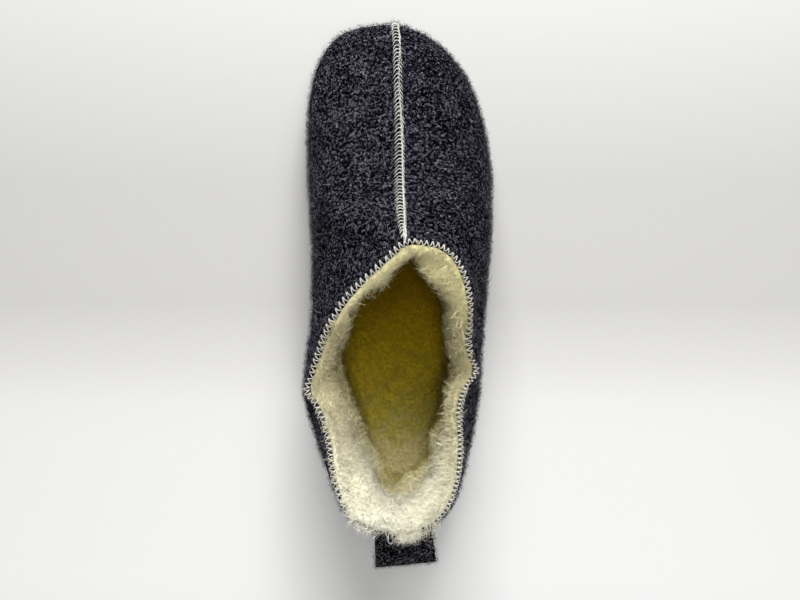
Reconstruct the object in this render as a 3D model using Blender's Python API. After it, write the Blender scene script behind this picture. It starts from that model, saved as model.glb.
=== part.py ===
"""Slipper boot for the right foot: a felt upper with a raised seam along its middle, a wool pile
lining, a wool insole, a rubber outsole and a felt pull loop at the heel.

Sizes are in millimetres until the meshes are made. y runs from the upper's rearmost point (0)
to the toe, +x is the little toe side, -x the big toe side, and z = 0 is the floor.
"""

import math
from typing import NamedTuple

import bpy
import numpy as np

MM = 0.001

# Driving sizes
LENGTH = 278.0  # upper, from its rearmost point to the tip of the toe
BALL_WIDTH = 103.4  # upper, across the ball of the foot
INSTEP_HEIGHT = 108.0  # floor to the throat, where the middle seam meets the collar
HEEL_HEIGHT = 113.0  # floor to the collar at the heel
FELT = 3.0  # wall of the upper
GAP = 0.3  # between pieces that touch

# Wool lining
PILE = 10.0  # depth on the wall
PILE_AT_COLLAR = 2.4  # its edge, pressed flat by the collar's stitches
PILE_AT_SOLE = 5.0
PILE_ROLL = 12.0  # length of wall over which the pile rises from the collar's edge
LOCK_RISE = 1.2  # height of the wool's locks on the face of the pile
LOCK_TURN = 1.9  # radians of their wave from one rib or row to the next

# Insole and outsole
INSOLE_THICKNESS = 7.0
INSOLE_GAP = 0.8  # between the insole's edge and the lining
SOLE_THICKNESS = 5.0
SOLE_RIM = 1.4  # how far the outsole stands out past the upper's lower edge
SOLE_BEVEL = 1.2  # round the outsole's lower edge
SOLE_BEVEL_SHARE = 0.3  # of the outsole's thickness
TOE_SPRING = 7.0
SPRING_FROM = 222.0  # where the outsole leaves the floor
ARCH_FROM, ARCH_TO, ARCH_RISE = 88.0, 150.0, 1.6

# Raised middle seam, where two felt edges are sewn together
SEAM_RISE = 1.7
SEAM_HALF_WIDTH = 3.0

# Pull loop
LOOP_WIDTH = 31.0
LOOP_OFFSET = 5.0  # it is sewn on slightly to the little toe side
LOOP_THICKNESS = 2.6
LOOP_GAP = 0.8  # between its sewn ends and the middle of the heel
LOOP_REACH = 17.0  # how far its bend stands behind the heel
LOOP_LOW, LOOP_HIGH = 50.0, 107.0  # heights of its two ends


class OutlineRow(NamedTuple):
    """A place on the upper's widest line, on both sides of the foot."""

    along: float  # share of LENGTH
    inner: float  # share of BALL_WIDTH, on the big toe side
    outer: float  # share of BALL_WIDTH, on the little toe side
    height: float
    tuck: float  # how far the wall turns in below, to meet the sole


class SeamRow(NamedTuple):
    """A place on the middle seam."""

    along: float  # share of LENGTH
    aside: float  # x
    height: float  # share of INSTEP_HEIGHT


class CollarRow(NamedTuple):
    """A place on the collar's edge."""

    along: float  # share of LENGTH
    aside: float  # x
    height: float  # share of HEEL_HEIGHT
    lean: float  # angle of the wall at the edge, 0 lying flat and 90 upright


class LoopRow(NamedTuple):
    """A place on the pull loop, seen from the side."""

    out: float  # share of LOOP_REACH
    rise: float  # share of the height between its ends


# From the toe end of the seam, round either side, to the heel
OUTLINE = (
    OutlineRow(1.002, -0.005, 0.005, 27.0, 6.0),
    OutlineRow(0.984, 0.315, 0.145, 28.0, 6.0),
    OutlineRow(0.935, 0.415, 0.312, 30.0, 6.0),
    OutlineRow(0.863, 0.476, 0.430, 32.0, 6.0),
    OutlineRow(0.723, 0.492, 0.508, 34.0, 6.5),
    OutlineRow(0.540, 0.455, 0.500, 40.0, 9.5),
    OutlineRow(0.403, 0.464, 0.470, 46.0, 12.0),
    OutlineRow(0.273, 0.487, 0.450, 53.0, 12.5),
    OutlineRow(0.151, 0.418, 0.396, 46.0, 8.5),
    OutlineRow(0.070, 0.350, 0.350, 42.0, 7.0),
    OutlineRow(0.015, 0.225, 0.245, 40.0, 5.5),
    OutlineRow(0.000, 0.000, 0.000, 40.0, 5.0),
)

# From the top of the toe back to the throat
SEAM = (
    SeamRow(0.863, 1.2, 0.542),
    SeamRow(0.806, 1.6, 0.593),
    SeamRow(0.734, 2.1, 0.657),
    SeamRow(0.669, 2.8, 0.738),
    SeamRow(0.619, 3.4, 0.829),
    SeamRow(0.576, 4.2, 0.928),
    SeamRow(0.540, 5.5, 1.000),
)

# From the throat down each flap to its ankle notch, and from there up to the heel
THROAT = CollarRow(SEAM[-1].along, SEAM[-1].aside, INSTEP_HEIGHT / HEEL_HEIGHT, 6.0)
INNER_NOTCH = CollarRow(0.266, -49.1, 0.646, 98.0)
OUTER_NOTCH = CollarRow(0.304, 44.2, 0.646, 100.0)
HEEL = CollarRow(0.027, 1.0, 1.000, 80.0)
INNER_FLAP = (
    THROAT,
    CollarRow(0.504, -7.0, 0.918, 34.0),
    CollarRow(0.440, -26.0, 0.828, 54.0),
    CollarRow(0.372, -37.8, 0.743, 68.0),
    CollarRow(0.318, -43.2, 0.686, 82.0),
    INNER_NOTCH,
)
INNER_BACK = (
    INNER_NOTCH,
    CollarRow(0.236, -42.6, 0.690, 92.0),
    CollarRow(0.190, -36.4, 0.780, 84.0),
    CollarRow(0.116, -31.8, 0.903, 80.0),
    CollarRow(0.056, -23.0, 0.974, 80.0),
    HEEL,
)
OUTER_FLAP = (
    THROAT,
    CollarRow(0.536, 22.0, 0.929, 34.0),
    CollarRow(0.497, 33.0, 0.876, 56.0),
    CollarRow(0.417, 39.0, 0.788, 74.0),
    CollarRow(0.352, 38.2, 0.717, 84.0),
    OUTER_NOTCH,
)
OUTER_BACK = (
    OUTER_NOTCH,
    CollarRow(0.278, 38.6, 0.677, 94.0),
    CollarRow(0.240, 33.6, 0.752, 86.0),
    CollarRow(0.165, 33.6, 0.858, 82.0),
    CollarRow(0.100, 30.2, 0.938, 80.0),
    CollarRow(0.049, 21.0, 0.982, 80.0),
    HEEL,
)

# From the loop's lower sewn end to its upper one
LOOP = (
    LoopRow(0.00, 0.00),
    LoopRow(0.00, 0.13),
    LoopRow(0.50, 0.22),
    LoopRow(0.93, 0.40),
    LoopRow(1.00, 0.58),
    LoopRow(0.78, 0.74),
    LoopRow(0.30, 0.86),
    LoopRow(0.00, 0.94),
    LoopRow(0.00, 1.00),
)

# Where the ribs of the wall start on the widest line, as shares of LENGTH
TOE_TIE = SEAM[0].along
INNER_THROAT_TIE, INNER_NOTCH_TIE = 0.600, 0.272
OUTER_THROAT_TIE, OUTER_NOTCH_TIE = 0.625, 0.298

# How a rib runs: out from the sole, upright at its widest place, then over or up to its top
LOWER_REACH, LOWER_RISE = 0.8, 0.12
UNDER_BELLY, OVER_BELLY = 0.5, 0.5
TOP_REACH = 0.5
FLAP_SLOPE_FADE = 1.2  # how soon the flaps lose the seam's slope behind the throat

# Fineness of the meshes
FAN_STEPS = (0.0, 0.025, 0.05, 0.085, 0.14, 0.24, 0.37, 0.52, 0.68, 0.84)  # ribs round the toe
VAMP_RIBS, FLAP_RIBS, BACK_RIBS = 8, 10, 11
WALL_ROWS = 9  # rows of each rib below the finer ones at its top
TOP_ROWS = (5.4, 3.4, 2.2, 1.1, 0.0)  # distances of those from the top
SPAN_POINTS = 24  # points of a smooth line between two rows of its table
LOWER_POINTS, UPPER_POINTS = 16, 40  # points of a rib before its rows are picked
NORMAL_PASSES, FACE_PASSES = 3, 4  # smoothing of the wall's directions and of the wool's face
PLATE_COLUMNS = 5
LOOP_STEPS, LOOP_COLUMNS = 22, 7

# Columns of the lines that a table gives, and the upward direction
X, Y, Z, EXTRA, SLOPE = range(5)
UP = np.array([0.0, 0.0, 1.0])

# Materials: colour and roughness
FELT_LOOK = ((0.022, 0.023, 0.032), 0.95)
WOOL_LOOK = ((0.72, 0.66, 0.45), 0.95)
RUBBER_LOOK = ((0.018, 0.018, 0.020), 0.75)


def unit(vectors):
    """Vectors brought to length 1."""
    return vectors / np.linalg.norm(vectors, axis=-1, keepdims=True)


def ease(t):
    """Smooth step from 0 to 1."""
    t = np.clip(t, 0.0, 1.0)
    return t * t * (3 - 2 * t)


def smooth_line(rows, closed=False):
    """Dense points of a cubic curve through the rows, whose first three columns are the place."""
    rows = np.asarray(rows, float)
    if closed:
        padded = np.vstack([rows[-1:], rows, rows[:2]])
    else:
        padded = np.vstack([2 * rows[0] - rows[1], rows, 2 * rows[-1] - rows[-2]])
    steps = np.sqrt(np.linalg.norm(np.diff(padded[:, :3], axis=0), axis=1))
    slopes = np.diff(padded, axis=0) / steps[:, None]
    before, after = steps[:-1, None], steps[1:, None]
    tangents = (slopes[:-1] * after + slopes[1:] * before) / (before + after)
    t = np.linspace(0.0, 1.0, SPAN_POINTS, endpoint=False)[:, None]
    spans = []
    for i, width in enumerate(steps[1:-1]):
        start, end = padded[i + 1], padded[i + 2]
        spans.append(
            start * (1 + 2 * t) * (1 - t) ** 2
            + end * t**2 * (3 - 2 * t)
            + width * tangents[i] * t * (1 - t) ** 2
            - width * tangents[i + 1] * t**2 * (1 - t)
        )
    last = padded[1:2] if closed else padded[-2:-1]
    return np.vstack(spans + [last])


def lengths_along(line):
    """Distance of each point of a line from its start."""
    steps = np.linalg.norm(np.diff(line[:, :3], axis=0), axis=1)
    return np.concatenate([[0.0], np.cumsum(steps)])


def at_lengths(line, lengths):
    """Points of a line at these distances from its start."""
    along = lengths_along(line)
    return np.column_stack([np.interp(lengths, along, column) for column in line.T])


def at_shares(line, shares):
    """Points of a line at these shares of its length."""
    return at_lengths(line, np.asarray(shares) * lengths_along(line)[-1])


def bezier(a, b, c, d, count):
    """Points of a cubic curve with ends a and d and handles b and c."""
    t = np.linspace(0.0, 1.0, count)[:, None]
    return a * (1 - t) ** 3 + 3 * b * t * (1 - t) ** 2 + 3 * c * t**2 * (1 - t) + d * t**3


def floor_lift(y):
    """Height of the outsole's underside: level at heel and forefoot, raised at arch and toe."""
    spring = TOE_SPRING * np.clip((y - SPRING_FROM) / (LENGTH - SPRING_FROM), 0.0, 1.0) ** 2
    arch = np.clip((y - ARCH_FROM) / (ARCH_TO - ARCH_FROM), 0.0, 1.0)
    return spring + ARCH_RISE * np.sin(math.pi * arch) ** 2


def widest_lines():
    """Widest lines of the outer and inner sides as x, y, height, tuck, from one closed curve."""
    outer = [(r.outer * BALL_WIDTH, r.along * LENGTH, r.height, r.tuck) for r in OUTLINE]
    inner = [(-r.inner * BALL_WIDTH, r.along * LENGTH, r.height, r.tuck) for r in OUTLINE]
    ring = smooth_line(outer + inner[-2:0:-1], closed=True)
    heel = (len(OUTLINE) - 1) * SPAN_POINTS
    return ring[: heel + 1], ring[heel:][::-1]


def seam_line():
    """Middle seam as x, y, z, lean (flat) and slope along the foot."""
    line = smooth_line([(r.aside, r.along * LENGTH, r.height * INSTEP_HEIGHT, 0.0) for r in SEAM])
    return np.column_stack([line, np.gradient(line[:, Z]) / np.gradient(line[:, Y])])


def collar_line(rows):
    """A stretch of collar as x, y, z, lean and slope along the foot, which is level here."""
    line = smooth_line([(r.aside, r.along * LENGTH, r.height * HEEL_HEIGHT, r.lean) for r in rows])
    return np.column_stack([line, np.zeros(len(line))])


def flap_line(rows):
    """A flap's collar, which takes on the seam's slope towards the throat."""
    line = collar_line(rows)
    line[:, SLOPE] = seam_line()[-1, SLOPE] * np.linspace(1.0, 0.0, len(line)) ** FLAP_SLOPE_FADE
    return line


def back_lines():
    """Collars of the outer and inner sides behind the notches, from one curve round the heel."""
    line = collar_line(OUTER_BACK + INNER_BACK[-2::-1])
    heel = (len(OUTER_BACK) - 1) * SPAN_POINTS
    return line[: heel + 1], line[heel:][::-1]


def outward(line, sign):
    """Outward directions of a widest line, seen from above."""
    step = np.gradient(line[:, :2], axis=0)
    return unit(np.column_stack([-step[:, Y], step[:, X], np.zeros(len(step))]) * sign)


class Ribs(NamedTuple):
    """Ends of one side's ribs, from the toe to the heel."""

    foot: np.ndarray  # on the sole
    wide: np.ndarray  # on the widest line
    top: np.ndarray  # on the seam or the collar, with lean and slope
    out: np.ndarray  # outward direction


def side_ribs(line, sign, flap, back, throat_tie, notch_tie):
    """Ribs of one side, tied from the widest line to the seam, the flap and the back collar."""
    seam = seam_line()
    total = lengths_along(line)
    falling = slice(int(np.argmax(line[:, Y])), None)

    def length_where(tie):
        return np.interp(-tie * LENGTH, -line[falling, Y], total[falling])

    stops = [0.0, *map(length_where, (TOE_TIE, throat_tie, notch_tie)), total[-1]]
    shares = [
        np.array(FAN_STEPS),
        np.arange(VAMP_RIBS) / VAMP_RIBS,
        np.arange(FLAP_RIBS) / FLAP_RIBS,
        np.arange(BACK_RIBS + 1) / BACK_RIBS,
    ]
    tops = [
        np.repeat(seam[:1], len(FAN_STEPS), axis=0),
        at_shares(seam, shares[1]),
        at_shares(flap, shares[2]),
        at_shares(back, shares[3]),
    ]
    places = np.concatenate([a + (b - a) * s for a, b, s in zip(stops, stops[1:], shares)])
    wide = at_lengths(line, places)
    out = np.column_stack([np.interp(places, total, part) for part in outward(line, sign).T])
    foot = wide[:, :3] - out * wide[:, EXTRA:]
    foot[:, Z] = floor_lift(foot[:, Y]) + SOLE_THICKNESS
    return Ribs(foot, wide[:, :3], np.vstack(tops), out)


def rib_points(foot, wide, top, out):
    """Points up one rib: from the sole out to the widest place, then up or over to the top."""
    place, lean = top[:3], math.radians(top[EXTRA])
    sideways = (wide - place) * (1, 1, 0)
    if np.dot(sideways, out) < 1.0:
        sideways = out
    sideways = unit(sideways)
    sideways = sideways + top[SLOPE] * sideways[Y] * UP
    reach = TOP_REACH * np.linalg.norm(place - wide)
    handle = place + reach * (math.cos(lean) * sideways - math.sin(lean) * UP)
    start = foot + (wide - foot) * (LOWER_REACH, LOWER_REACH, LOWER_RISE)
    below = wide - UNDER_BELLY * (wide[Z] - foot[Z]) * UP
    above = wide + OVER_BELLY * (place[Z] - wide[Z]) * UP
    lower = bezier(foot, start, below, wide, LOWER_POINTS)
    upper = bezier(wide, above, handle, place, UPPER_POINTS)
    line = np.vstack([lower, upper[1:]])
    total = lengths_along(line)[-1]
    wall = np.linspace(0.0, total - TOP_ROWS[0], WALL_ROWS, endpoint=False)
    return at_lengths(line, np.concatenate([wall, total - np.array(TOP_ROWS)]))


def faces_between(a, b, turn=1):
    """Faces between two rows of vertex numbers; corners that the rows share are kept once."""
    faces = []
    for corners in zip(a, a[1:], b[1:], b):
        kept = [c for i, c in enumerate(corners) if c != corners[i - 1]]
        if len(kept) > 2:
            faces.append(kept[::turn])
    return faces


class Wall:
    """The upper's surface as ribs round the foot, from which every layer is offset.

    points, normals: a place and an outward direction for each vertex;
    faces: outward triangles; foot_ring, collar_ring: the two open edges;
    below: length of wall from each vertex to the foot of its rib.
    """

    def __init__(self):
        outer, inner = widest_lines()
        outer_back, inner_back = back_lines()
        outer_flap, inner_flap = flap_line(OUTER_FLAP), flap_line(INNER_FLAP)
        self.sides = (
            side_ribs(outer, 1, outer_flap, outer_back, OUTER_THROAT_TIE, OUTER_NOTCH_TIE),
            side_ribs(inner, -1, inner_flap, inner_back, INNER_THROAT_TIE, INNER_NOTCH_TIE),
        )
        grids = [np.array([rib_points(*rib) for rib in zip(*side)]) for side in self.sides]
        self.throat_rib = len(FAN_STEPS) + VAMP_RIBS
        self.number_vertices(*grids[0].shape[:2])
        self.make_faces()
        self.points = self.gather(grids)
        self.below = self.gather([[lengths_along(rib) for rib in grid] for grid in grids])
        self.normals = self.find_normals()

    def number_vertices(self, ribs, rows):
        """Numbers each side's grid, with one number where the two sides share a vertex."""
        outer = np.arange(ribs * rows).reshape(ribs, rows)
        outer[: len(FAN_STEPS), -1] = outer[len(FAN_STEPS), -1]
        inner = outer + ribs * rows
        inner[0] = outer[0]
        inner[-1] = outer[-1]
        inner[: self.throat_rib + 1, -1] = outer[: self.throat_rib + 1, -1]
        used, numbers = np.unique([outer, inner], return_inverse=True)
        self.count = len(used)
        self.numbers = numbers.reshape(2, ribs, rows)

    def gather(self, per_side):
        """One value for each vertex, from a grid of values for each side."""
        values = np.zeros((self.count, *np.shape(per_side[0])[2:]))
        for numbers, grid in zip(self.numbers, per_side):
            values[numbers] = grid
        return values

    def make_faces(self):
        """Triangles between neighbouring ribs, and the edges left open at sole and collar."""
        self.faces = []
        for numbers, turn in zip(self.numbers, (1, -1)):
            for a, b in zip(numbers, numbers[1:]):
                for face in faces_between(a, b, turn):
                    self.faces += [[face[0], *pair] for pair in zip(face[1:], face[2:])]
        outer, inner = self.numbers
        self.foot_ring = list(outer[:, 0]) + list(inner[-2:0:-1, 0])
        start = self.throat_rib
        self.collar_ring = list(outer[start:, -1]) + list(inner[-2:start:-1, -1])

    def find_normals(self):
        """Outward directions, level at the foot so that every layer stands flat on the sole."""
        totals = np.zeros((self.count, 3))
        for face in self.faces:
            a, b, c = self.points[face]
            totals[face] += np.cross(b - a, c - a)
        normals = self.averaged(unit(totals), NORMAL_PASSES)
        normals[:, Z] *= ease(self.below / INSOLE_THICKNESS)
        return unit(normals)

    def averaged(self, values, passes):
        """Values of the vertices, averaged with those of their neighbours."""
        faces = np.array(self.faces)
        pairs = np.vstack([faces[:, [0, 1]], faces[:, [1, 2]], faces[:, [2, 0]]])
        pairs = np.unique(np.sort(pairs, axis=1), axis=0)
        shares = 1.0 + np.bincount(pairs.ravel(), minlength=self.count)[:, None]
        for _ in range(passes):
            totals = values.copy()
            np.add.at(totals, pairs[:, 0], values[pairs[:, 1]])
            np.add.at(totals, pairs[:, 1], values[pairs[:, 0]])
            values = totals / shares
        return values

    def layer(self, depth):
        """The surface moved inwards by a depth, one for all or one for each vertex."""
        return self.points - self.normals * np.reshape(depth, (-1, 1))

    def shell(self, outside, inside):
        """Vertices and faces of the closed wall between two layers."""
        faces = self.faces + [[corner + self.count for corner in face[::-1]] for face in self.faces]
        for ring, turn in ((self.foot_ring, -1), (self.collar_ring, 1)):
            edge = np.array(ring + ring[:1])
            faces += faces_between(edge + self.count, edge, turn)
        return np.vstack([outside, inside]), faces

    def seam_ridge(self):
        """Height of the raised seam over each vertex."""
        line = seam_line()[::-1]
        middle = np.interp(self.points[:, Y], line[:, Y], line[:, X])
        rise = SEAM_RISE * (1 - ease(np.abs(self.points[:, X] - middle) / SEAM_HALF_WIDTH))
        return np.where(self.points[:, Y] >= THROAT.along * LENGTH - GAP, rise, 0.0)

    def wool_depth(self):
        """Depth of the wool: thin at the collar's stitches, full on the wall, less at the sole."""
        edge = self.points[self.collar_ring + self.collar_ring[:1]]
        edge = at_shares(edge, np.linspace(0.0, 1.0, SPAN_POINTS * 10))
        from_edge = np.linalg.norm(self.points[:, None] - edge[None], axis=2).min(axis=1)
        rolled = PILE_AT_COLLAR + (PILE - PILE_AT_COLLAR) * np.sqrt(ease(from_edge / PILE_ROLL))
        low = PILE_AT_SOLE + (PILE - PILE_AT_SOLE) * ease(self.below / (3 * INSOLE_THICKNESS))
        return np.minimum(rolled, low)

    def wool_face(self, backing):
        """Face of the wool over a backing depth, with its folds eased out and locks raised on it."""
        layer = self.layer(backing + self.wool_depth())
        face = self.averaged(layer, FACE_PASSES)
        for numbers in self.numbers:
            rib, row = np.indices(numbers.shape)
            lock = LOCK_RISE * np.cos(LOCK_TURN * rib) * np.cos(LOCK_TURN * row)
            above_insole = ease(self.below[numbers] / (2 * INSOLE_THICKNESS) - 1.0)
            face[numbers] -= (lock * above_insole)[:, :, None] * self.normals[numbers]
        edges = self.foot_ring + self.collar_ring
        face[edges] = layer[edges]
        return face

    def ring_at_height(self, layer, inset, height):
        """Both sides' points that lie a height above the sole on a layer, moved inwards."""
        rings = []
        for numbers, side in zip(self.numbers, self.sides):
            ring = []
            for rib, foot, out in zip(layer[numbers], side.foot, side.out):
                above = rib[:WALL_ROWS, Z] - foot[Z]
                place = [np.interp(height, above, part) for part in rib[:WALL_ROWS].T]
                ring.append(place - out * inset)
            rings.append(np.array(ring))
        return rings

    def heel_face(self, x, z):
        """y of the upper's outside at the heel, at a place across it and a height."""
        found = []
        for numbers in self.numbers:
            for rib in self.points[numbers[-BACK_RIBS:]]:
                found.append([np.interp(z, rib[:, Z], rib[:, i]) for i in (X, Y)])
        across, back = np.array(sorted(found)).T
        return np.interp(x, across, back)


def plate(rings):
    """Closed plate through stacked outlines, low to high; each is a row of points on either side."""
    shares = np.linspace(0.0, 1.0, PLATE_COLUMNS)[None, :, None]
    grids = [outer[:, None] * (1 - shares) + inner[:, None] * shares for outer, inner in rings]
    numbers = np.arange(len(rings) * grids[0][..., X].size).reshape(len(rings), -1, PLATE_COLUMNS)
    numbers[:, [0, -1], :] = numbers[:, [0, -1], :1]
    faces = []
    for level, turn in ((numbers[0], -1), (numbers[-1], 1)):
        for a, b in zip(level, level[1:]):
            faces += faces_between(a, b, turn)
    for low, high in zip(numbers, numbers[1:]):
        faces += faces_between(low[:, 0], high[:, 0], -1)
        faces += faces_between(low[:, -1], high[:, -1], 1)
    used = sorted({corner for face in faces for corner in face})
    renumbered = {old: new for new, old in enumerate(used)}
    points = np.concatenate(grids).reshape(-1, 3)[used]
    return points, [[renumbered[corner] for corner in face] for face in faces]


def outsole(wall):
    """Rubber plate under the upper, with a small bevel round its lower edge."""
    rings = []
    for share, out in ((0.0, SOLE_RIM - SOLE_BEVEL), (SOLE_BEVEL_SHARE, SOLE_RIM), (1.0, SOLE_RIM)):
        sides = [side.foot + side.out * out for side in wall.sides]
        for ring, side in zip(sides, wall.sides):
            ring[:, Z] = floor_lift(side.foot[:, Y]) + share * (SOLE_THICKNESS - GAP)
        rings.append(sides)
    return plate(rings)


def insole(wall, wool_face):
    """Wool footbed that fills the foot of the lining."""
    return plate([wall.ring_at_height(wool_face, INSOLE_GAP, z) for z in (0.0, INSOLE_THICKNESS)])


def pull_loop(wall):
    """Felt strip sewn to the heel at both ends and standing off it between them."""
    height = LOOP_HIGH - LOOP_LOW
    rows = [(row.out * LOOP_REACH, LOOP_LOW + row.rise * height, 0.0) for row in LOOP]
    path = at_shares(smooth_line(rows), np.linspace(0.0, 1.0, LOOP_STEPS + 1))
    off, z = np.maximum(path[:, 0], 0.0), path[:, 1]
    flat = ease(off / LOOP_REACH)
    columns = []
    for x in LOOP_OFFSET + LOOP_WIDTH * np.linspace(-0.5, 0.5, LOOP_COLUMNS):
        curved = np.array([wall.heel_face(x, level) for level in z])
        straight = np.array([wall.heel_face(LOOP_OFFSET, level) for level in z])
        y = curved * (1 - flat) + straight * flat - off - LOOP_GAP - LOOP_THICKNESS / 2
        middle = np.column_stack([np.full(len(z), x), y, z])
        step = np.gradient(middle, axis=0)
        inward = unit(np.column_stack([step[:, X], step[:, Z], -step[:, Y]])) * LOOP_THICKNESS / 2
        columns.append(np.vstack([middle + inward, (middle - inward)[::-1]]))
    around = 2 * len(path)
    numbers = np.arange(LOOP_COLUMNS * around).reshape(LOOP_COLUMNS, around)
    faces = []
    for a, b in zip(numbers, numbers[1:]):
        faces += faces_between([*a, a[0]], [*b, b[0]])
    for end, turn in ((numbers[0], -1), (numbers[-1], 1)):
        faces += faces_between(end[: len(path)], end[: len(path) - 1 : -1], turn)
    return np.vstack(columns), faces


def add_object(name, solid, look, parent):
    """A named object with its own material, from vertices in millimetres and faces."""
    vertices, faces = solid
    mesh = bpy.data.meshes.new(name)
    mesh.from_pydata((vertices * MM).tolist(), [], [[int(corner) for corner in f] for f in faces])
    mesh.shade_smooth()
    colour, roughness = look
    material = bpy.data.materials.new(name)
    material.use_nodes = True
    shader = material.node_tree.nodes["Principled BSDF"]
    shader.inputs["Base Color"].default_value = (*colour, 1.0)
    shader.inputs["Roughness"].default_value = roughness
    shader.inputs["Metallic"].default_value = 0.0
    mesh.materials.append(material)
    piece = bpy.data.objects.new(name, mesh)
    piece.parent = parent
    bpy.context.scene.collection.objects.link(piece)


def stand_on_origin(root):
    """Moves the whole shoe so that the middle of its box stands on the origin."""
    places = np.array([v.co for piece in root.children for v in piece.data.vertices])
    low, high = places.min(axis=0), places.max(axis=0)
    root.location = (-(low[X] + high[X]) / 2, -(low[Y] + high[Y]) / 2, -low[Z])


def main():
    """Clears the scene and builds the shoe's five pieces."""
    for old in list(bpy.data.objects):
        bpy.data.objects.remove(old)
    root = bpy.data.objects.new("slipper_boot", None)
    bpy.context.scene.collection.objects.link(root)
    wall = Wall()
    backing = FELT + GAP
    wool_face = wall.wool_face(backing)
    felt_face = wall.layer(-wall.seam_ridge())
    add_object("upper", wall.shell(felt_face, wall.layer(FELT)), FELT_LOOK, root)
    add_object("lining", wall.shell(wall.layer(backing), wool_face), WOOL_LOOK, root)
    add_object("insole", insole(wall, wool_face), WOOL_LOOK, root)
    add_object("outsole", outsole(wall), RUBBER_LOOK, root)
    add_object("pull_loop", pull_loop(wall), FELT_LOOK, root)
    stand_on_origin(root)


main()
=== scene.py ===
"""Looks of a felt slipper boot: melange felt, overlock thread, wool pile and rubber, on a pale floor.

Lengths are in metres in the shoe's own frame: +Y runs to the toe, +X to the little toe side, +Z up.
"""

import logging
import math
from collections.abc import Callable, Sequence
from dataclasses import dataclass
from enum import Enum
from typing import Any

import bmesh
import bpy
import numpy as np
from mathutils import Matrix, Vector
from mathutils.bvhtree import BVHTree
from mathutils.kdtree import KDTree


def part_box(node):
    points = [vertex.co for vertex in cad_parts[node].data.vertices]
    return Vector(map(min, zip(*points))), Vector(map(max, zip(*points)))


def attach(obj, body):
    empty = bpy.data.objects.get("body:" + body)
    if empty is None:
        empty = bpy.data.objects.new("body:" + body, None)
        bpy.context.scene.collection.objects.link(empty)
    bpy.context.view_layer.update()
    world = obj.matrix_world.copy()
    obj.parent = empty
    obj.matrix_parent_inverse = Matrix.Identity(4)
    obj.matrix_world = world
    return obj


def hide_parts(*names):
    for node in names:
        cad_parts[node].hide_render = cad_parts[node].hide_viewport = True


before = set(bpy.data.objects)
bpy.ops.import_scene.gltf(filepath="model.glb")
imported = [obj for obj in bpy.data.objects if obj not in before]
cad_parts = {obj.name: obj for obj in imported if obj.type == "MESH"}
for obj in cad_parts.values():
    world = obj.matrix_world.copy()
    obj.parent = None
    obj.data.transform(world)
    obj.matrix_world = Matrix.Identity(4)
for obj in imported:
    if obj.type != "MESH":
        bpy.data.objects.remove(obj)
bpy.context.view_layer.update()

BODY = "root"
MM = 0.001
UP = np.array([0.0, 0.0, 1.0])

Array = np.ndarray
Random = np.random.Generator
Material = bpy.types.Material
Piece = bpy.types.Object
Colour = tuple[float, float, float]
Place = tuple[float, float, float]
Rows = tuple[tuple[float, ...], ...]
Stops = Sequence[tuple[float, Colour]]

WHITE = (1.0, 1.0, 1.0)
PLAIN = ((0.0, WHITE), (1.0, WHITE))

log = logging.getLogger("slipper_boot")


class CadNode(Enum):
    """Solids of the shoe that are dressed here."""

    UPPER = "upper"
    LINING = "lining"
    INSOLE = "insole"
    OUTSOLE = "outsole"
    PULL_LOOP = "pull_loop"


class Slot(Enum):
    """Material slots of the shoe's record."""

    FELT = "felt"
    WOOL = "wool_pile"
    RUBBER = "sole_rubber"


class Seed(Enum):
    """Seeds of the random numbers, one for each seam and each growth of fibres."""

    SEAM = 5
    COLLAR = 8
    FELT_NAP = 11
    INNER_PILE = 21
    OUTER_PILE = 22
    FRINGE = 23
    WISPS = 24
    ENDS = 25
    FOOTBED = 31
    LOOP_NAP = 41

    def rng(self) -> Random:
        """Source of random numbers that starts from this seed."""
        return np.random.default_rng(self.value)


# Small tools for vectors and meshes


def unit(vectors: Array) -> Array:
    """Vectors brought to length 1."""
    return vectors / np.maximum(np.linalg.norm(vectors, axis=-1, keepdims=True), 1e-12)


def laid(directions: Array, normals: Array) -> Array:
    """Directions laid flat on a surface."""
    return unit(directions - (directions * normals).sum(axis=1, keepdims=True) * normals)


def ease(t: Array) -> Array:
    """Smooth step from 0 to 1."""
    t = np.clip(t, 0.0, 1.0)
    return t * t * (3.0 - 2.0 * t)


def hump(t: Array) -> Array:
    """Soft hump, 1 high at 0."""
    return np.exp(-(t**2))


def reading(rows: Any, places: Any) -> list[Any]:
    """What a table's other columns say at places of its first column."""
    table = np.array(rows)
    return [np.interp(places, table[:, 0], column) for column in table[:, 1:].T]


def nearest(points: Array, places: Array) -> tuple[Array, Array]:
    """Number of the point nearest to each place, and how far off it is."""
    tree = KDTree(len(points))
    for number, point in enumerate(points):
        tree.insert(point, number)
    tree.balance()
    found = [tree.find(place) for place in places]
    return np.array([number for _, number, _ in found]), np.array([gap for _, _, gap in found])


def resampled(points: Array, count: int, closed: bool = False) -> Array:
    """Evenly spaced points along a smooth curve through others.

    Args:
        points: Points of the curve, one a row.
        count: How many points to return.
        closed: Whether the curve runs from its last point back to its first.

    Returns:
        The new points. A closed curve doesn't repeat its first point.
    """
    if closed:
        ends = points[-1:], points[:2]
    else:
        ends = 2 * points[:1] - points[1:2], 2 * points[-1:] - points[-2:-1]
    padded = np.vstack([ends[0], points, ends[1]])
    t = np.linspace(0.0, 1.0, 9)[:-1, None]
    spans = []
    for a, b, c, d in zip(padded, padded[1:], padded[2:], padded[3:]):
        bend = 2 * a - 5 * b + 4 * c - d
        spans.append(0.5 * (2 * b + (c - a) * t + bend * t**2 + (3 * b - 3 * c + d - a) * t**3))
    dense = np.vstack(spans + [points[:1] if closed else points[-1:]])
    along = np.concatenate([[0.0], np.cumsum(np.linalg.norm(np.diff(dense, axis=0), axis=1))])
    places = np.linspace(0.0, along[-1], count, endpoint=not closed)
    return np.column_stack([np.interp(places, along, column) for column in dense.T])


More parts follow.
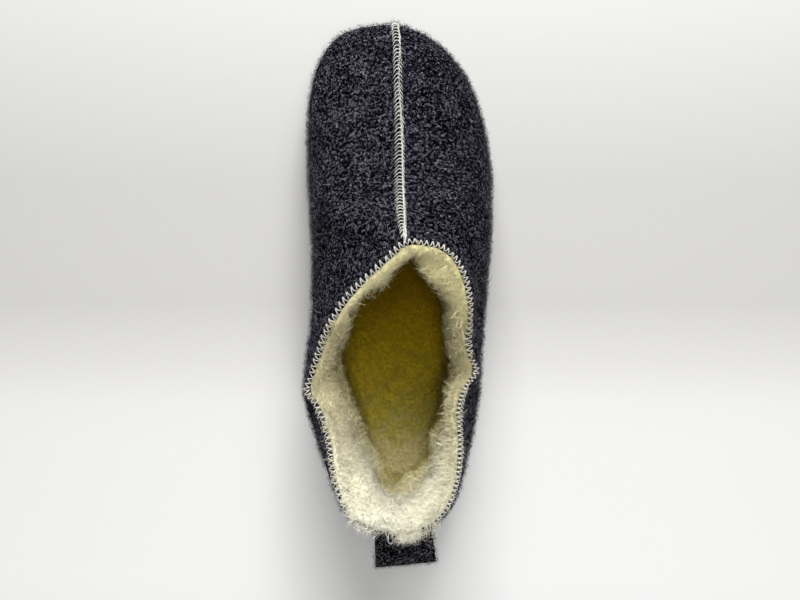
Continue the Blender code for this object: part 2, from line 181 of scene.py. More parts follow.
def smoothed(rows: Array, times: int) -> Array:
    """Rows round a loop, each brought closer to its neighbours a number of times."""
    for _ in range(times):
        rows = (np.roll(rows, 6, axis=0) + 2 * rows + np.roll(rows, -6, axis=0)) / 4
    return rows


def length_of(points: Array) -> float:
    """Length of a line of points."""
    return float(np.linalg.norm(np.diff(points, axis=0), axis=1).sum())


def activate(piece: Piece) -> None:
    """Selects one piece alone and makes it the active one."""
    bpy.ops.object.select_all(action="DESELECT")
    piece.select_set(True)
    bpy.context.view_layer.objects.active = piece


def open_mesh(piece: Piece, kind: str) -> bmesh.types.BMesh:
    """A piece's mesh in edit mode with nothing selected, to pick its edges or faces."""
    activate(piece)
    bpy.ops.object.mode_set(mode="EDIT")
    bpy.ops.mesh.select_mode(type=kind)
    bpy.ops.mesh.select_all(action="DESELECT")
    return bmesh.from_edit_mesh(piece.data)


def cad_copy(node: CadNode, name: str) -> Piece:
    """A new piece from a solid of the shoe, merged and with its quads restored.

    Args:
        node: The solid.
        name: The new piece's name.

    Returns:
        The piece, which is active, with no material.
    """
    piece = bpy.data.objects.new(name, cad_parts[node.value].data.copy())
    bpy.context.scene.collection.objects.link(piece)
    piece.data.materials.clear()
    activate(piece)
    bpy.ops.mesh.customdata_custom_splitnormals_clear()
    bpy.ops.object.mode_set(mode="EDIT")
    bpy.ops.mesh.select_all(action="SELECT")
    bpy.ops.mesh.remove_doubles(threshold=0.01 * MM)
    bpy.ops.mesh.tris_convert_to_quads(face_threshold=math.radians(60), shape_threshold=math.radians(120))
    bpy.ops.object.mode_set(mode="OBJECT")
    bpy.ops.object.shade_smooth()
    return piece


def apply_modifier(piece: Piece, kind: str, **settings: Any) -> None:
    """Adds a modifier with these settings to a piece and applies it."""
    activate(piece)
    modifier = piece.modifiers.new(kind.lower(), kind)
    for key, value in settings.items():
        setattr(modifier, key, value)
    bpy.ops.object.modifier_apply(modifier=modifier.name)


def subdivide(piece: Piece, levels: int = 2) -> None:
    """Rounds a piece off with a subdivision surface."""
    apply_modifier(piece, "SUBSURF", levels=levels, render_levels=levels)


def roughen(piece: Piece, lumps: Rows) -> None:
    """Raises and lowers a piece's surface by clouds of these widths and heights, in millimetres."""
    for size, height in lumps:
        texture = bpy.data.textures.new(f"{piece.name}_clouds", "CLOUDS")
        texture.noise_scale = size * MM
        settings = {"strength": height * MM, "mid_level": 0.5, "texture_coords": "LOCAL"}
        apply_modifier(piece, "DISPLACE", texture=texture, **settings)


def crease_edges(piece: Piece, amount: float, top: float = math.inf, angle: float = 50.0) -> None:
    """Keeps sharp edges crisp when the piece is subdivided.

    Args:
        piece: The piece.
        amount: Crease from 0 to 1.
        top: Height below which edges are creased.
        angle: Angle in degrees from which an edge is sharp.
    """
    for edge in open_mesh(piece, "EDGE").edges:
        sharp = edge.is_manifold and edge.calc_face_angle() > math.radians(angle)
        edge.select_set(sharp and ((edge.verts[0].co + edge.verts[1].co) / 2).z < top)
    bmesh.update_edit_mesh(piece.data)
    bpy.ops.transform.edge_crease(value=amount)
    bpy.ops.object.mode_set(mode="OBJECT")


def vectors_of(rows: Any, key: str) -> Array:
    """Vectors that a mesh stores under a key."""
    flat = np.empty(len(rows) * 3, np.float32)
    rows.foreach_get(key, flat)
    return flat.reshape(-1, 3).astype(float)


def points_and_normals(piece: Piece) -> tuple[Array, Array]:
    """Places and directions of a piece's vertices."""
    return vectors_of(piece.data.vertices, "co"), vectors_of(piece.data.vertex_normals, "vector")


def move_points(piece: Piece, points: Array) -> None:
    """Puts a piece's vertices at these places."""
    piece.data.vertices.foreach_set("co", points.astype(np.float32).ravel())
    piece.data.update()


def set_values(piece: Piece, name: str, values: Array) -> None:
    """Stores a value for each vertex, which a finish can read by its name."""
    attribute = piece.data.attributes.new(name, "FLOAT", "POINT")
    attribute.data.foreach_set("value", np.asarray(values, np.float32).ravel())


def piece_from_arrays(name: str, points: Array, quads: Array, triangles: Array) -> Piece:
    """A smooth piece made of many small shapes at once.

    Args:
        name: The piece's name.
        points: Places of the vertices.
        quads: Four vertex numbers a row.
        triangles: Three vertex numbers a row.

    Returns:
        The piece, with no material.
    """
    mesh = bpy.data.meshes.new(name)
    mesh.vertices.add(len(points))
    mesh.vertices.foreach_set("co", points.astype(np.float32).ravel())
    corners = np.concatenate([quads.ravel(), triangles.ravel()]).astype(np.int32)
    mesh.loops.add(len(corners))
    mesh.loops.foreach_set("vertex_index", corners)
    starts = np.concatenate([4 * np.arange(len(quads)), 4 * len(quads) + 3 * np.arange(len(triangles))])
    mesh.polygons.add(len(starts))
    mesh.polygons.foreach_set("loop_start", starts.astype(np.int32))
    mesh.update(calc_edges=True)
    mesh.shade_smooth()
    piece = bpy.data.objects.new(name, mesh)
    bpy.context.scene.collection.objects.link(piece)
    return piece


def seat(piece: Piece, finish: Material, slot: Slot, *replaced: CadNode) -> None:
    """Gives a piece its finish, makes it part of the shoe and reports it.

    Args:
        piece: The piece.
        finish: Its material.
        slot: Material slot that the finish belongs to; not used.
        replaced: Solids that the piece stands for.
    """
    piece.data.materials.clear()
    piece.data.materials.append(finish)
    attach(piece, BODY)
    if replaced:
        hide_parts(*[node.value for node in replaced])
    log.info("%s: %d triangles", piece.name, sum(len(face.vertices) - 2 for face in piece.data.polygons))


class Skin:
    """A piece's surface as arrays, for picking places on it."""

    def __init__(self, piece: Piece) -> None:
        """Reads the surface of a piece as it is now."""
        self.points, self.normals = points_and_normals(piece)
        piece.data.calc_loop_triangles()
        flat = np.empty(len(piece.data.loop_triangles) * 3, np.int32)
        piece.data.loop_triangles.foreach_get("vertices", flat)
        self.triangles = flat.reshape(-1, 3)
        self.middles = self.points[self.triangles].mean(axis=1)
        self.tree = BVHTree.FromPolygons(self.points.tolist(), self.triangles.tolist())

    def distances(self, places: Array) -> Array:
        """Distance of each place from the surface."""
        return np.array([self.tree.find_nearest(place)[3] for place in places.tolist()])

    def scatter(self, rng: Random, count: int, weights: Array) -> tuple[Array, Array]:
        """Random places on the surface.

        Args:
            rng: Source of the random numbers.
            count: How many places.
            weights: Wanted density on each triangle.

        Returns:
            The places and the surface's directions there.
        """
        a, b, c = np.moveaxis(self.points[self.triangles], 1, 0)
        shares = np.linalg.norm(np.cross(b - a, c - a), axis=1) * weights
        picked = self.triangles[rng.choice(len(shares), count, p=shares / shares.sum())]
        u, v = np.sqrt(rng.random((count, 1))), rng.random((count, 1))
        blend = np.stack([1 - u, u * (1 - v), u * v], axis=1)
        return (self.points[picked] * blend).sum(axis=1), unit((self.normals[picked] * blend).sum(axis=1))

    def clear(self, starts: Array, ends: Array) -> Array:
        """Says of each straight way from a start to an end whether it misses the surface."""
        runs = ends - starts
        rays = zip(starts.tolist(), runs.tolist(), np.linalg.norm(runs, axis=1).tolist())
        return np.array([self.tree.ray_cast(*ray)[0] is None for ray in rays])

    def settle(self, place: Array, direction: Array, lift: float, reach: float = 6 * MM) -> Array:
        """The place on the surface under another one.

        Args:
            place: A place near the surface.
            direction: Direction away from the surface there.
            lift: How far above the surface the result lies.
            reach: How far above the place the search starts.

        Returns:
            The place.
        """
        start = Vector(place + direction * reach)
        hit, normal, _, _ = self.tree.ray_cast(start, Vector(-direction), 2.5 * reach)
        if hit is None:
            hit, normal, _, _ = self.tree.find_nearest(Vector(place))
        return np.array(hit) + lift * np.array(normal)


# Threads and fibres


def swept(paths: Array, radii: Array, sides: int, spiked: bool = False) -> tuple[Array, Array, Array]:
    """Round bars along many paths at once.

    Args:
        paths: Points of the paths, as an array of paths by points by 3.
        radii: Radius at each of those points.
        sides: Sides of a bar.
        spiked: Whether each bar ends in a point instead of a flat end.

    Returns:
        The points, quads and triangles of all the bars.
    """
    bars, rings = paths.shape[:2]
    tangents = unit(np.gradient(paths, axis=1))
    sideways = unit(np.cross(tangents, np.where(np.abs(tangents[..., 2:]) < 0.9, UP, UP[::-1])))
    for k in range(1, rings):
        sideways[:, k] = laid(sideways[:, k - 1], tangents[:, k])
    upwards = np.cross(tangents, sideways)
    turn = 2 * np.pi * np.arange(sides) / sides
    spread = np.cos(turn)[:, None] * sideways[:, :, None] + np.sin(turn)[:, None] * upwards[:, :, None]
    points = paths[:, :, None] + radii[:, :, None, None] * spread
    full = rings - 1 if spiked else rings
    size = full * sides + (1 if spiked else 0)
    ring = np.arange(full * sides).reshape(full, sides)
    ahead = np.roll(ring, -1, axis=1)
    quads = np.stack([ring[:-1], ahead[:-1], ahead[1:], ring[1:]], axis=-1).reshape(-1, 4)
    root = [[ring[0, 0], ring[0, j + 1], ring[0, j]] for j in range(1, sides - 1)]
    if spiked:
        tip = [[ring[-1, j], ahead[-1, j], size - 1] for j in range(sides)]
        points = np.concatenate([points[:, :full].reshape(bars, -1, 3), paths[:, -1:]], axis=1)
    else:
        tip = [[ring[-1, 0], ring[-1, j], ring[-1, j + 1]] for j in range(1, sides - 1)]
    offsets = (size * np.arange(bars))[:, None, None]
    quads = (quads[None] + offsets).reshape(-1, 4)
    triangles = (np.array(root + tip)[None] + offsets).reshape(-1, 3)
    return points.reshape(-1, 3), quads, triangles


@dataclass(frozen=True)
class Stitch:
    """One length of thread.

    Attributes:
        path: Its points.
        thick: Share of the thread's radius that it has.
        sunk: How far its start and its end are darkened, from 0 to 1, partly by the felt's fibres that cover
            them and partly by painted shade.
    """

    path: Array
    thick: float = 1.0
    sunk: tuple[float, float] = (0.0, 0.0)


@dataclass(frozen=True)
class Thread:
    """A sewing thread, laid along stitches as joined round bars."""

    radius: float
    points: int = 12
    sides: int = 6

    def sew(self, name: str, stitches: Sequence[Stitch], finish: Material) -> None:
        """Lays the thread, with the values along (millimetres along a stitch), around (turns) and sunk (how
        far covering fibres and painted shade darken it).

        Args:
            name: Name of the piece.
            stitches: The stitches.
            finish: Material of the thread.
        """
        paths = np.stack([resampled(stitch.path, self.points) for stitch in stitches])
        radii = np.array([stitch.thick for stitch in stitches])[:, None] * np.full(self.points, self.radius)
        piece = piece_from_arrays(name, *swept(paths, radii, self.sides))
        steps = np.linalg.norm(np.diff(paths, axis=1), axis=2)
        along = np.concatenate([np.zeros((len(paths), 1)), np.cumsum(steps, axis=1)], axis=1) / MM
        set_values(piece, "along", np.repeat(along[:, :, None], self.sides, axis=2))
        around = np.arange(self.sides) / self.sides
        set_values(piece, "around", np.broadcast_to(around, (*along.shape, self.sides)))
        share = np.linspace(0.0, 1.0, self.points)
        starts, ends = np.array([stitch.sunk for stitch in stitches]).T[:, :, None]
        sunk = starts * ease(1.0 - 2.0 * share) + ends * ease(2.0 * share - 1.0)
        set_values(piece, "sunk", np.repeat(sunk[:, :, None], self.sides, axis=2))
        seat(piece, finish, Slot.WOOL)


@dataclass(frozen=True)
class Fibres:
    """A growth of fine fibres on a surface, as joined spikes.

    Attributes:
        shortest, longest, radius: Their lengths and their radius at the root, in millimetres.
        rise, curl: Share of its length that a fibre stands off the surface, and that it strays sideways.
        count: How many there are.
        rings, sides: Points along a fibre and round it.
        locks, pull: How many locks they gather in, and how far a lock draws them together.
        mixed: How much their radii differ.
        sunk: How deep they are rooted, in millimetres.
        astray: How far they stray from the way they are combed.
    """

    shortest: float
    longest: float
    radius: float
    rise: float
    curl: float
    count: int = 0
    rings: int = 3
    sides: int = 3
    locks: int = 0
    pull: float = 0.0
    mixed: float = 0.3
    sunk: float = 0.3
    astray: float = 0.45

    def cover(self, name: str, skin: Skin, seed: Seed, weights: Array, finish: Material, slot: Slot,
              comb: Callable[[Array], Array] | None = None, barrier: Skin | None = None) -> None:
        """Grows the fibres all over a surface.

        Args:
            name: Name of the piece.
            skin: The surface.
            seed: Seed of the random numbers.
            weights: Wanted density on each triangle of the surface.
            finish: Their material.
            slot: Material slot that it belongs to.
            comb: Says in which directions they lie at some places. Without it they lie anyhow.
            barrier: A surface that no fibre passes through.
        """
        rng = seed.rng()
        roots, normals = skin.scatter(rng, self.count, weights)
        stray = rng.normal(size=roots.shape)
        if comb is None:
            lean = unit(np.cross(normals, stray))
        else:
            lean = laid(comb(roots) + self.astray * stray, normals)
        self.grow(name, rng, roots, normals, lean, finish, slot, barrier)

    def grow(self, name: str, rng: Random, roots: Array, normals: Array, lean: Array, finish: Material,
             slot: Slot, barrier: Skin | None = None, clipped: Array | float = 1.0) -> None:
        """Grows the fibres, with the values tone (random for each) and tip (0 at the root, 1 at the tip).

        Args:
            name: Name of the piece.
            rng: Source of the random numbers.
            roots: Places where they start.
            normals: Directions off the surface there.
            lean: Directions along the surface in which they lie.
            finish: Their material.
            slot: Material slot that it belongs to.
            barrier: A surface that no fibre passes through.
            clipped: Share of its length that each fibre keeps.
        """
        count = len(roots)
        roots = roots - self.sunk * MM * normals
        share = np.linspace(0.0, 1.0, self.rings)[None, :, None]
        length = rng.uniform(self.shortest * MM, self.longest * MM, (count, 1, 1))
        length = length * np.reshape(clipped, (-1, 1, 1))
        rise = np.clip(self.rise * rng.normal(1.0, 0.25, (count, 1, 1)), 0.05, 1.0)
        across = unit(np.cross(normals, lean))[:, None]
        stray = self.curl * rng.normal(0.0, 1.0, (2, count, 1, 1))
        ahead = np.sqrt(1.0 - rise**2 * 0.9) * share * lean[:, None]
        stand = rise * (2 * share - share**2) * normals[:, None]
        wander = (stray[0] * share**2 + stray[1] * np.sin(np.pi * share)) * across
        paths = roots[:, None] + length * (ahead + stand + wander)
        tone = rng.random(count)
        if self.locks:
            chosen = rng.choice(count, self.locks, replace=False)
            leader = chosen[nearest(roots[chosen], roots)[0]]
            paths += self.pull * (paths[leader, -1] - paths[:, -1])[:, None] * share**2
            tone = 0.5 * tone[leader] + 0.5 * tone
        if barrier is not None:
            free = barrier.clear(paths[:, 0], paths[:, -1])
            paths, tone, count = paths[free], tone[free], int(free.sum())
        taper = 1.0 - 0.65 * share[..., 0]
        stout = self.radius * MM * np.exp(rng.normal(0.0, self.mixed, (count, 1)))
        piece = piece_from_arrays(name, *swept(paths, stout * taper, self.sides, True))
        set_values(piece, "tone", np.repeat(tone, self.sides * (self.rings - 1) + 1))
        tip = np.append(np.repeat(share[0, :-1, 0], self.sides), 1.0)
        set_values(piece, "tip", np.tile(tip, count))
        seat(piece, finish, slot)


# Finishes


class Graph:
    """A node tree with short calls to add nodes and join them."""

    def __init__(self, tree: bpy.types.NodeTree) -> None:
        """Wraps a tree of a material or a node group."""
        self.tree = tree

    def put(self, value: Any, socket: bpy.types.NodeSocket) -> None:
        """Joins a socket to an input, or sets the input to a value."""
        if isinstance(value, bpy.types.NodeSocket):
            self.tree.links.new(value, socket)
        else:
            socket.default_value = (*value, 1.0) if socket.type == "RGBA" else value

    def add(self, kind: str, inputs: dict[Any, Any] | None = None, **settings: Any) -> bpy.types.Node:
        """Adds a node.

        Args:
            kind: Its type, without the leading ShaderNode.
            inputs: Values or sockets for its inputs, by name or number.
            settings: Its own properties.

        Returns:
            The node.
        """
        node = self.tree.nodes.new(kind if kind.startswith("Node") else f"ShaderNode{kind}")
        for key, value in settings.items():
            setattr(node, key, value)
        for key, value in (inputs or {}).items():
            self.put(value, node.inputs[key])
        return node

    def noise(self, place: Any, scale: Any, detail: float, stray: float) -> Any:
        """Value of a cloud noise, from about 0 to 1."""
        inputs = {"Vector": place, "Scale": scale, "Detail": detail, "Distortion": stray}
        return self.add("TexNoise", inputs, noise_type="FBM", normalize=True).outputs[0]

    def math(self, operation: str, a: Any, b: Any = 0.0) -> Any:
        """Result of a sum on two values."""
        return self.add("Math", {0: a, 1: b}, operation=operation).outputs[0]

    def weighted(self, a: Any, a_share: float, b: Any, b_share: float) -> Any:
        """Sum of two values in these shares."""
        return self.math("ADD", self.math("MULTIPLY", a, a_share), self.math("MULTIPLY", b, b_share))

    def ranged(self, value: Any, low: float, high: float, first: float = 0.0, last: float = 1.0) -> Any:
        """A value from first to last, as another goes from low to high."""
        span = {"Value": value, "From Min": low, "From Max": high, "To Min": first, "To Max": last}
        return self.add("MapRange", span).outputs[0]

    def mixed(self, share: Any, a: Any, b: Any, mode: str = "MIX") -> Any:
        """A colour between two others."""
        return self.add("Mix", {0: share, 6: a, 7: b}, data_type="RGBA", blend_type=mode).outputs[2]

    def ramp(self, value: Any, stops: Stops) -> Any:
        """Colour for a value, from places and colours along a ramp."""
        node = self.add("ValToRGB", {"Fac": value})
        elements = node.color_ramp.elements
        while len(elements) < len(stops):
            elements.new(1.0)
        for element, (place, colour) in zip(elements, stops):
            element.position = place
            element.color = (*colour, 1.0)
        return node.outputs[0]

    def tint(self, value: Any, stops: Stops) -> Any:
        """Colour for a place along an axis."""
        low, high = stops[0][0], stops[-1][0]
        shares = [((place - low) / (high - low), colour) for place, colour in stops]
        return self.ramp(self.ranged(value, low, high), shares)

    def attribute(self, name: str) -> Any:
        """A value that is stored on the piece's vertices."""
        return self.add("Attribute", attribute_name=name).outputs["Fac"]


class Surface(Graph):
    """The nodes of a new material."""

    def __init__(self, name: str) -> None:
        """Makes the material."""
        self.material = bpy.data.materials.new(name)
        self.material.use_nodes = True
        super().__init__(self.material.node_tree)

    def place(self) -> Any:
        """Place on the piece, in the shoe's frame."""
        return self.add("TexCoord").outputs["Object"]

    def mottled(self, tree: bpy.types.NodeTree, place: Any, fibre: float, cloud: float) -> Any:
        """Matted fibres and clouds of these sizes."""
        inputs = {"Vector": place, "Fibre Scale": 1.0 / fibre, "Cloud Scale": 1.0 / cloud}
        return self.add("Group", inputs, node_tree=tree).outputs

    def bump(self, height: Any, strength: float, distance: float) -> Any:
        """Normal of a surface that is raised by a height."""
        return self.add("Bump", {"Height": height, "Strength": strength, "Distance": distance}).outputs[0]

    def finished(self, colour: Any, rough: Any, specular: float = 0.5, normal: Any = None) -> Material:
        """The material, with these joined to its shader."""
        given = {"Base Color": colour, "Roughness": rough, "Specular IOR Level": specular, "Normal": normal}
        for name, value in given.items():
            if value is not None:
                self.put(value, self.tree.nodes["Principled BSDF"].inputs[name])
        return self.material


def fibre_mottle_group() -> bpy.types.NodeTree:
    """Group that draws matted fibres: curled light threads in short lengths, and soft clouds.

    Returns:
        The group, with inputs Vector, Fibre Scale and Cloud Scale and outputs Fibres and Clouds.
    """
    tree = bpy.data.node_groups.new("fibre_mottle", "ShaderNodeTree")
    for name, way, kind in (("Vector", "INPUT", "Vector"), ("Fibre Scale", "INPUT", "Float"),
                            ("Cloud Scale", "INPUT", "Float"), ("Fibres", "OUTPUT", "Float"),
                            ("Clouds", "OUTPUT", "Float")):
        tree.interface.new_socket(name, in_out=way, socket_type=f"NodeSocket{kind}")
    graph = Graph(tree)
    given = graph.add("NodeGroupInput").outputs
    layers = []
    for offset, finer in ((0.0, 1.0), (0.37, 1.4)):
        moved = {0: given[0], 1: (offset, -offset, offset)}
        moved = graph.add("VectorMath", moved, operation="ADD").outputs[0]
        scale = graph.math("MULTIPLY", given[1], finer)
        curl = graph.noise(moved, scale, 1.0, 1.2)
        aside = graph.math("ABSOLUTE", graph.math("SUBTRACT", curl, 0.5))
        ridge = graph.ranged(aside, 0.005, 0.055, 1.0, 0.0)
        broken = graph.ranged(graph.noise(moved, graph.math("MULTIPLY", scale, 0.8), 0.0, 0.0), 0.40, 0.64)
        layers.append(graph.math("MULTIPLY", ridge, broken))
    fibres = graph.math("MAXIMUM", layers[0], layers[1])
    clouds = graph.noise(given[0], given[2], 3.0, 0.4)
    graph.add("NodeGroupOutput", {0: fibres, 1: clouds})
    return tree


@dataclass(frozen=True)
class FeltFinish:
    """Melange wool felt: dark fibres with lighter ones matted in by the mottle group."""

    mottle: bpy.types.NodeTree
    name: str = "melange_felt"
    dark: Colour = (0.0001, 0.0001, 0.0006)
    middle: Colour = (0.0018, 0.0018, 0.0038)
    light: Colour = (0.025, 0.0245, 0.034)
    lightest: Colour = (0.18, 0.176, 0.210)
    fibre_size: float = 1.45 * MM
    cloud_size: float = 11.0 * MM
    fibre_share: float = 0.75
    cloud_share: float = 0.45
    bump: float = 0.5 * MM
    rough: float = 0.95
    specular: float = 0.01

    def wall(self) -> Material:
        """Finish of the felt itself."""
        surface = Surface(self.name)
        drawn = surface.mottled(self.mottle, surface.place(), self.fibre_size, self.cloud_size)
        tone = surface.weighted(drawn["Fibres"], self.fibre_share, drawn["Clouds"], self.cloud_share)
        stops = ((0.18, self.dark), (0.36, self.middle), (0.62, self.light), (0.92, self.lightest))
        raised = surface.bump(tone, 0.8, self.bump)
        return surface.finished(surface.ramp(tone, stops), self.rough, self.specular, raised)

    def nap(self) -> Material:
        """Finish of the single fibres that stand off the felt."""
        surface = Surface(f"{self.name}_nap")
        stops = ((0.0, self.middle), (0.5, self.light), (1.0, self.lightest))
        return surface.finished(surface.ramp(surface.attribute("tone"), stops), self.rough, self.specular)


@dataclass(frozen=True)
class WoolFinish:
    """Wool pile, tinted by where it lies in the shoe.

    Attributes:
        mottle: Group that draws matted fibres.
        name: Start of its materials' names.
        root, tip: Colours between and on top of its fibres.
        along, upward, across: Painted light and shade, as tints by the distance towards the toe, upward and
            towards the little toe side.
        patches: How far clouds in the wool shift the painted tints along the shoe.
        fibre_size, cloud_size: Sizes of its matted fibres and of its clouds.
    """

    mottle: bpy.types.NodeTree
    name: str
    root: Colour
    tip: Colour
    along: Stops
    upward: Stops = PLAIN
    across: Stops = PLAIN
    patches: float = 30 * MM
    fibre_size: float = 2.6 * MM
    cloud_size: float = 9.0 * MM

    def material(self, stranded: bool) -> Material:
        """Finish of single fibres, which carry tone and tip, or of the pile under them."""
        surface = Surface(f"{self.name}_{'strands' if stranded else 'pile'}")
        place = surface.place()
        drawn = surface.mottled(self.mottle, place, self.fibre_size, self.cloud_size)
        if stranded:
            parts = surface.attribute("tone"), surface.attribute("tip")
        else:
            parts = drawn["Fibres"], drawn["Clouds"]
        tone = surface.weighted(parts[0], 0.45, parts[1], 0.55)
        colour = surface.ramp(tone, ((0.05, self.root), (0.62, self.tip)))
        axes = surface.add("SeparateXYZ", {0: place}).outputs
        shift = surface.math("MULTIPLY", surface.math("SUBTRACT", drawn["Clouds"], 0.5), self.patches)
        shifted = surface.math("ADD", axes["Y"], shift)
        # The tints paint light and shade into the colour; on the footbed the along tint also gives the wool
        # its own yellow.
        for value, stops in ((shifted, self.along), (axes["Z"], self.upward), (axes["X"], self.across)):
            colour = surface.mixed(1.0, colour, surface.tint(value, stops), "MULTIPLY")
        raised = None if stranded else surface.bump(tone, 0.9, 1.4 * MM)
        return surface.finished(colour, 1.0, 0.05, raised)


@dataclass(frozen=True)
class ThreadFinish:
    """Twisted cream thread, with painted shade between its plies and where it dips into the felt."""

    light: Colour = (0.53, 0.52, 0.47)
    # Painted shade in the grooves between the plies.
    groove: Colour = (0.20, 0.19, 0.17)
    # Felt fibres over the thread's ends, with painted shade where it dips into the felt.
    covered_and_shaded: Colour = (0.035, 0.035, 0.042)
    twist: float = 1.1

    def material(self) -> Material:
        """Finish whose two plies turn round the thread, read from along and around."""
        surface = Surface("cream_thread")
        along = surface.math("DIVIDE", surface.attribute("along"), self.twist)
        turns = surface.math("ADD", along, surface.attribute("around"))
        wave = surface.math("SINE", surface.math("MULTIPLY", turns, 4 * math.pi))
        ply = surface.math("ADD", surface.math("MULTIPLY", wave, 0.5), 0.5)
        colour = surface.ramp(ply, ((0.0, self.groove), (0.45, self.light)))
        # Ends darkened by sunk: covering felt fibres and painted shade.
        colour = surface.mixed(surface.attribute("sunk"), colour, self.covered_and_shaded)
        return surface.finished(colour, 0.8, 0.2, surface.bump(ply, 0.5, 0.1 * MM))


@dataclass(frozen=True)
class RubberFinish:
    """Matt black sole rubber, slightly dusty."""

    black: Colour = (0.012, 0.012, 0.013)
    dust: Colour = (0.055, 0.053, 0.050)

    def material(self) -> Material:
        """Finish of the rubber."""
        surface = Surface("sole_rubber")
        place = surface.place()
        grain = surface.noise(place, 1.0 / (0.6 * MM), 3.0, 0.0)
        dust = surface.noise(place, 1.0 / (14 * MM), 4.0, 0.6)
        colour = surface.ramp(dust, ((0.35, self.black), (0.8, self.dust)))
        rough = surface.ranged(dust, 0.0, 1.0, 0.5, 0.85)
        return surface.finished(colour, rough, normal=surface.bump(grain, 0.4, 0.1 * MM))


# Pieces


@dataclass(frozen=True)
class Fold:
    """A soft trough in the felt between two places, in millimetres. A negative depth makes a ridge."""

    start: Place
    end: Place
    depth: float
    width: float


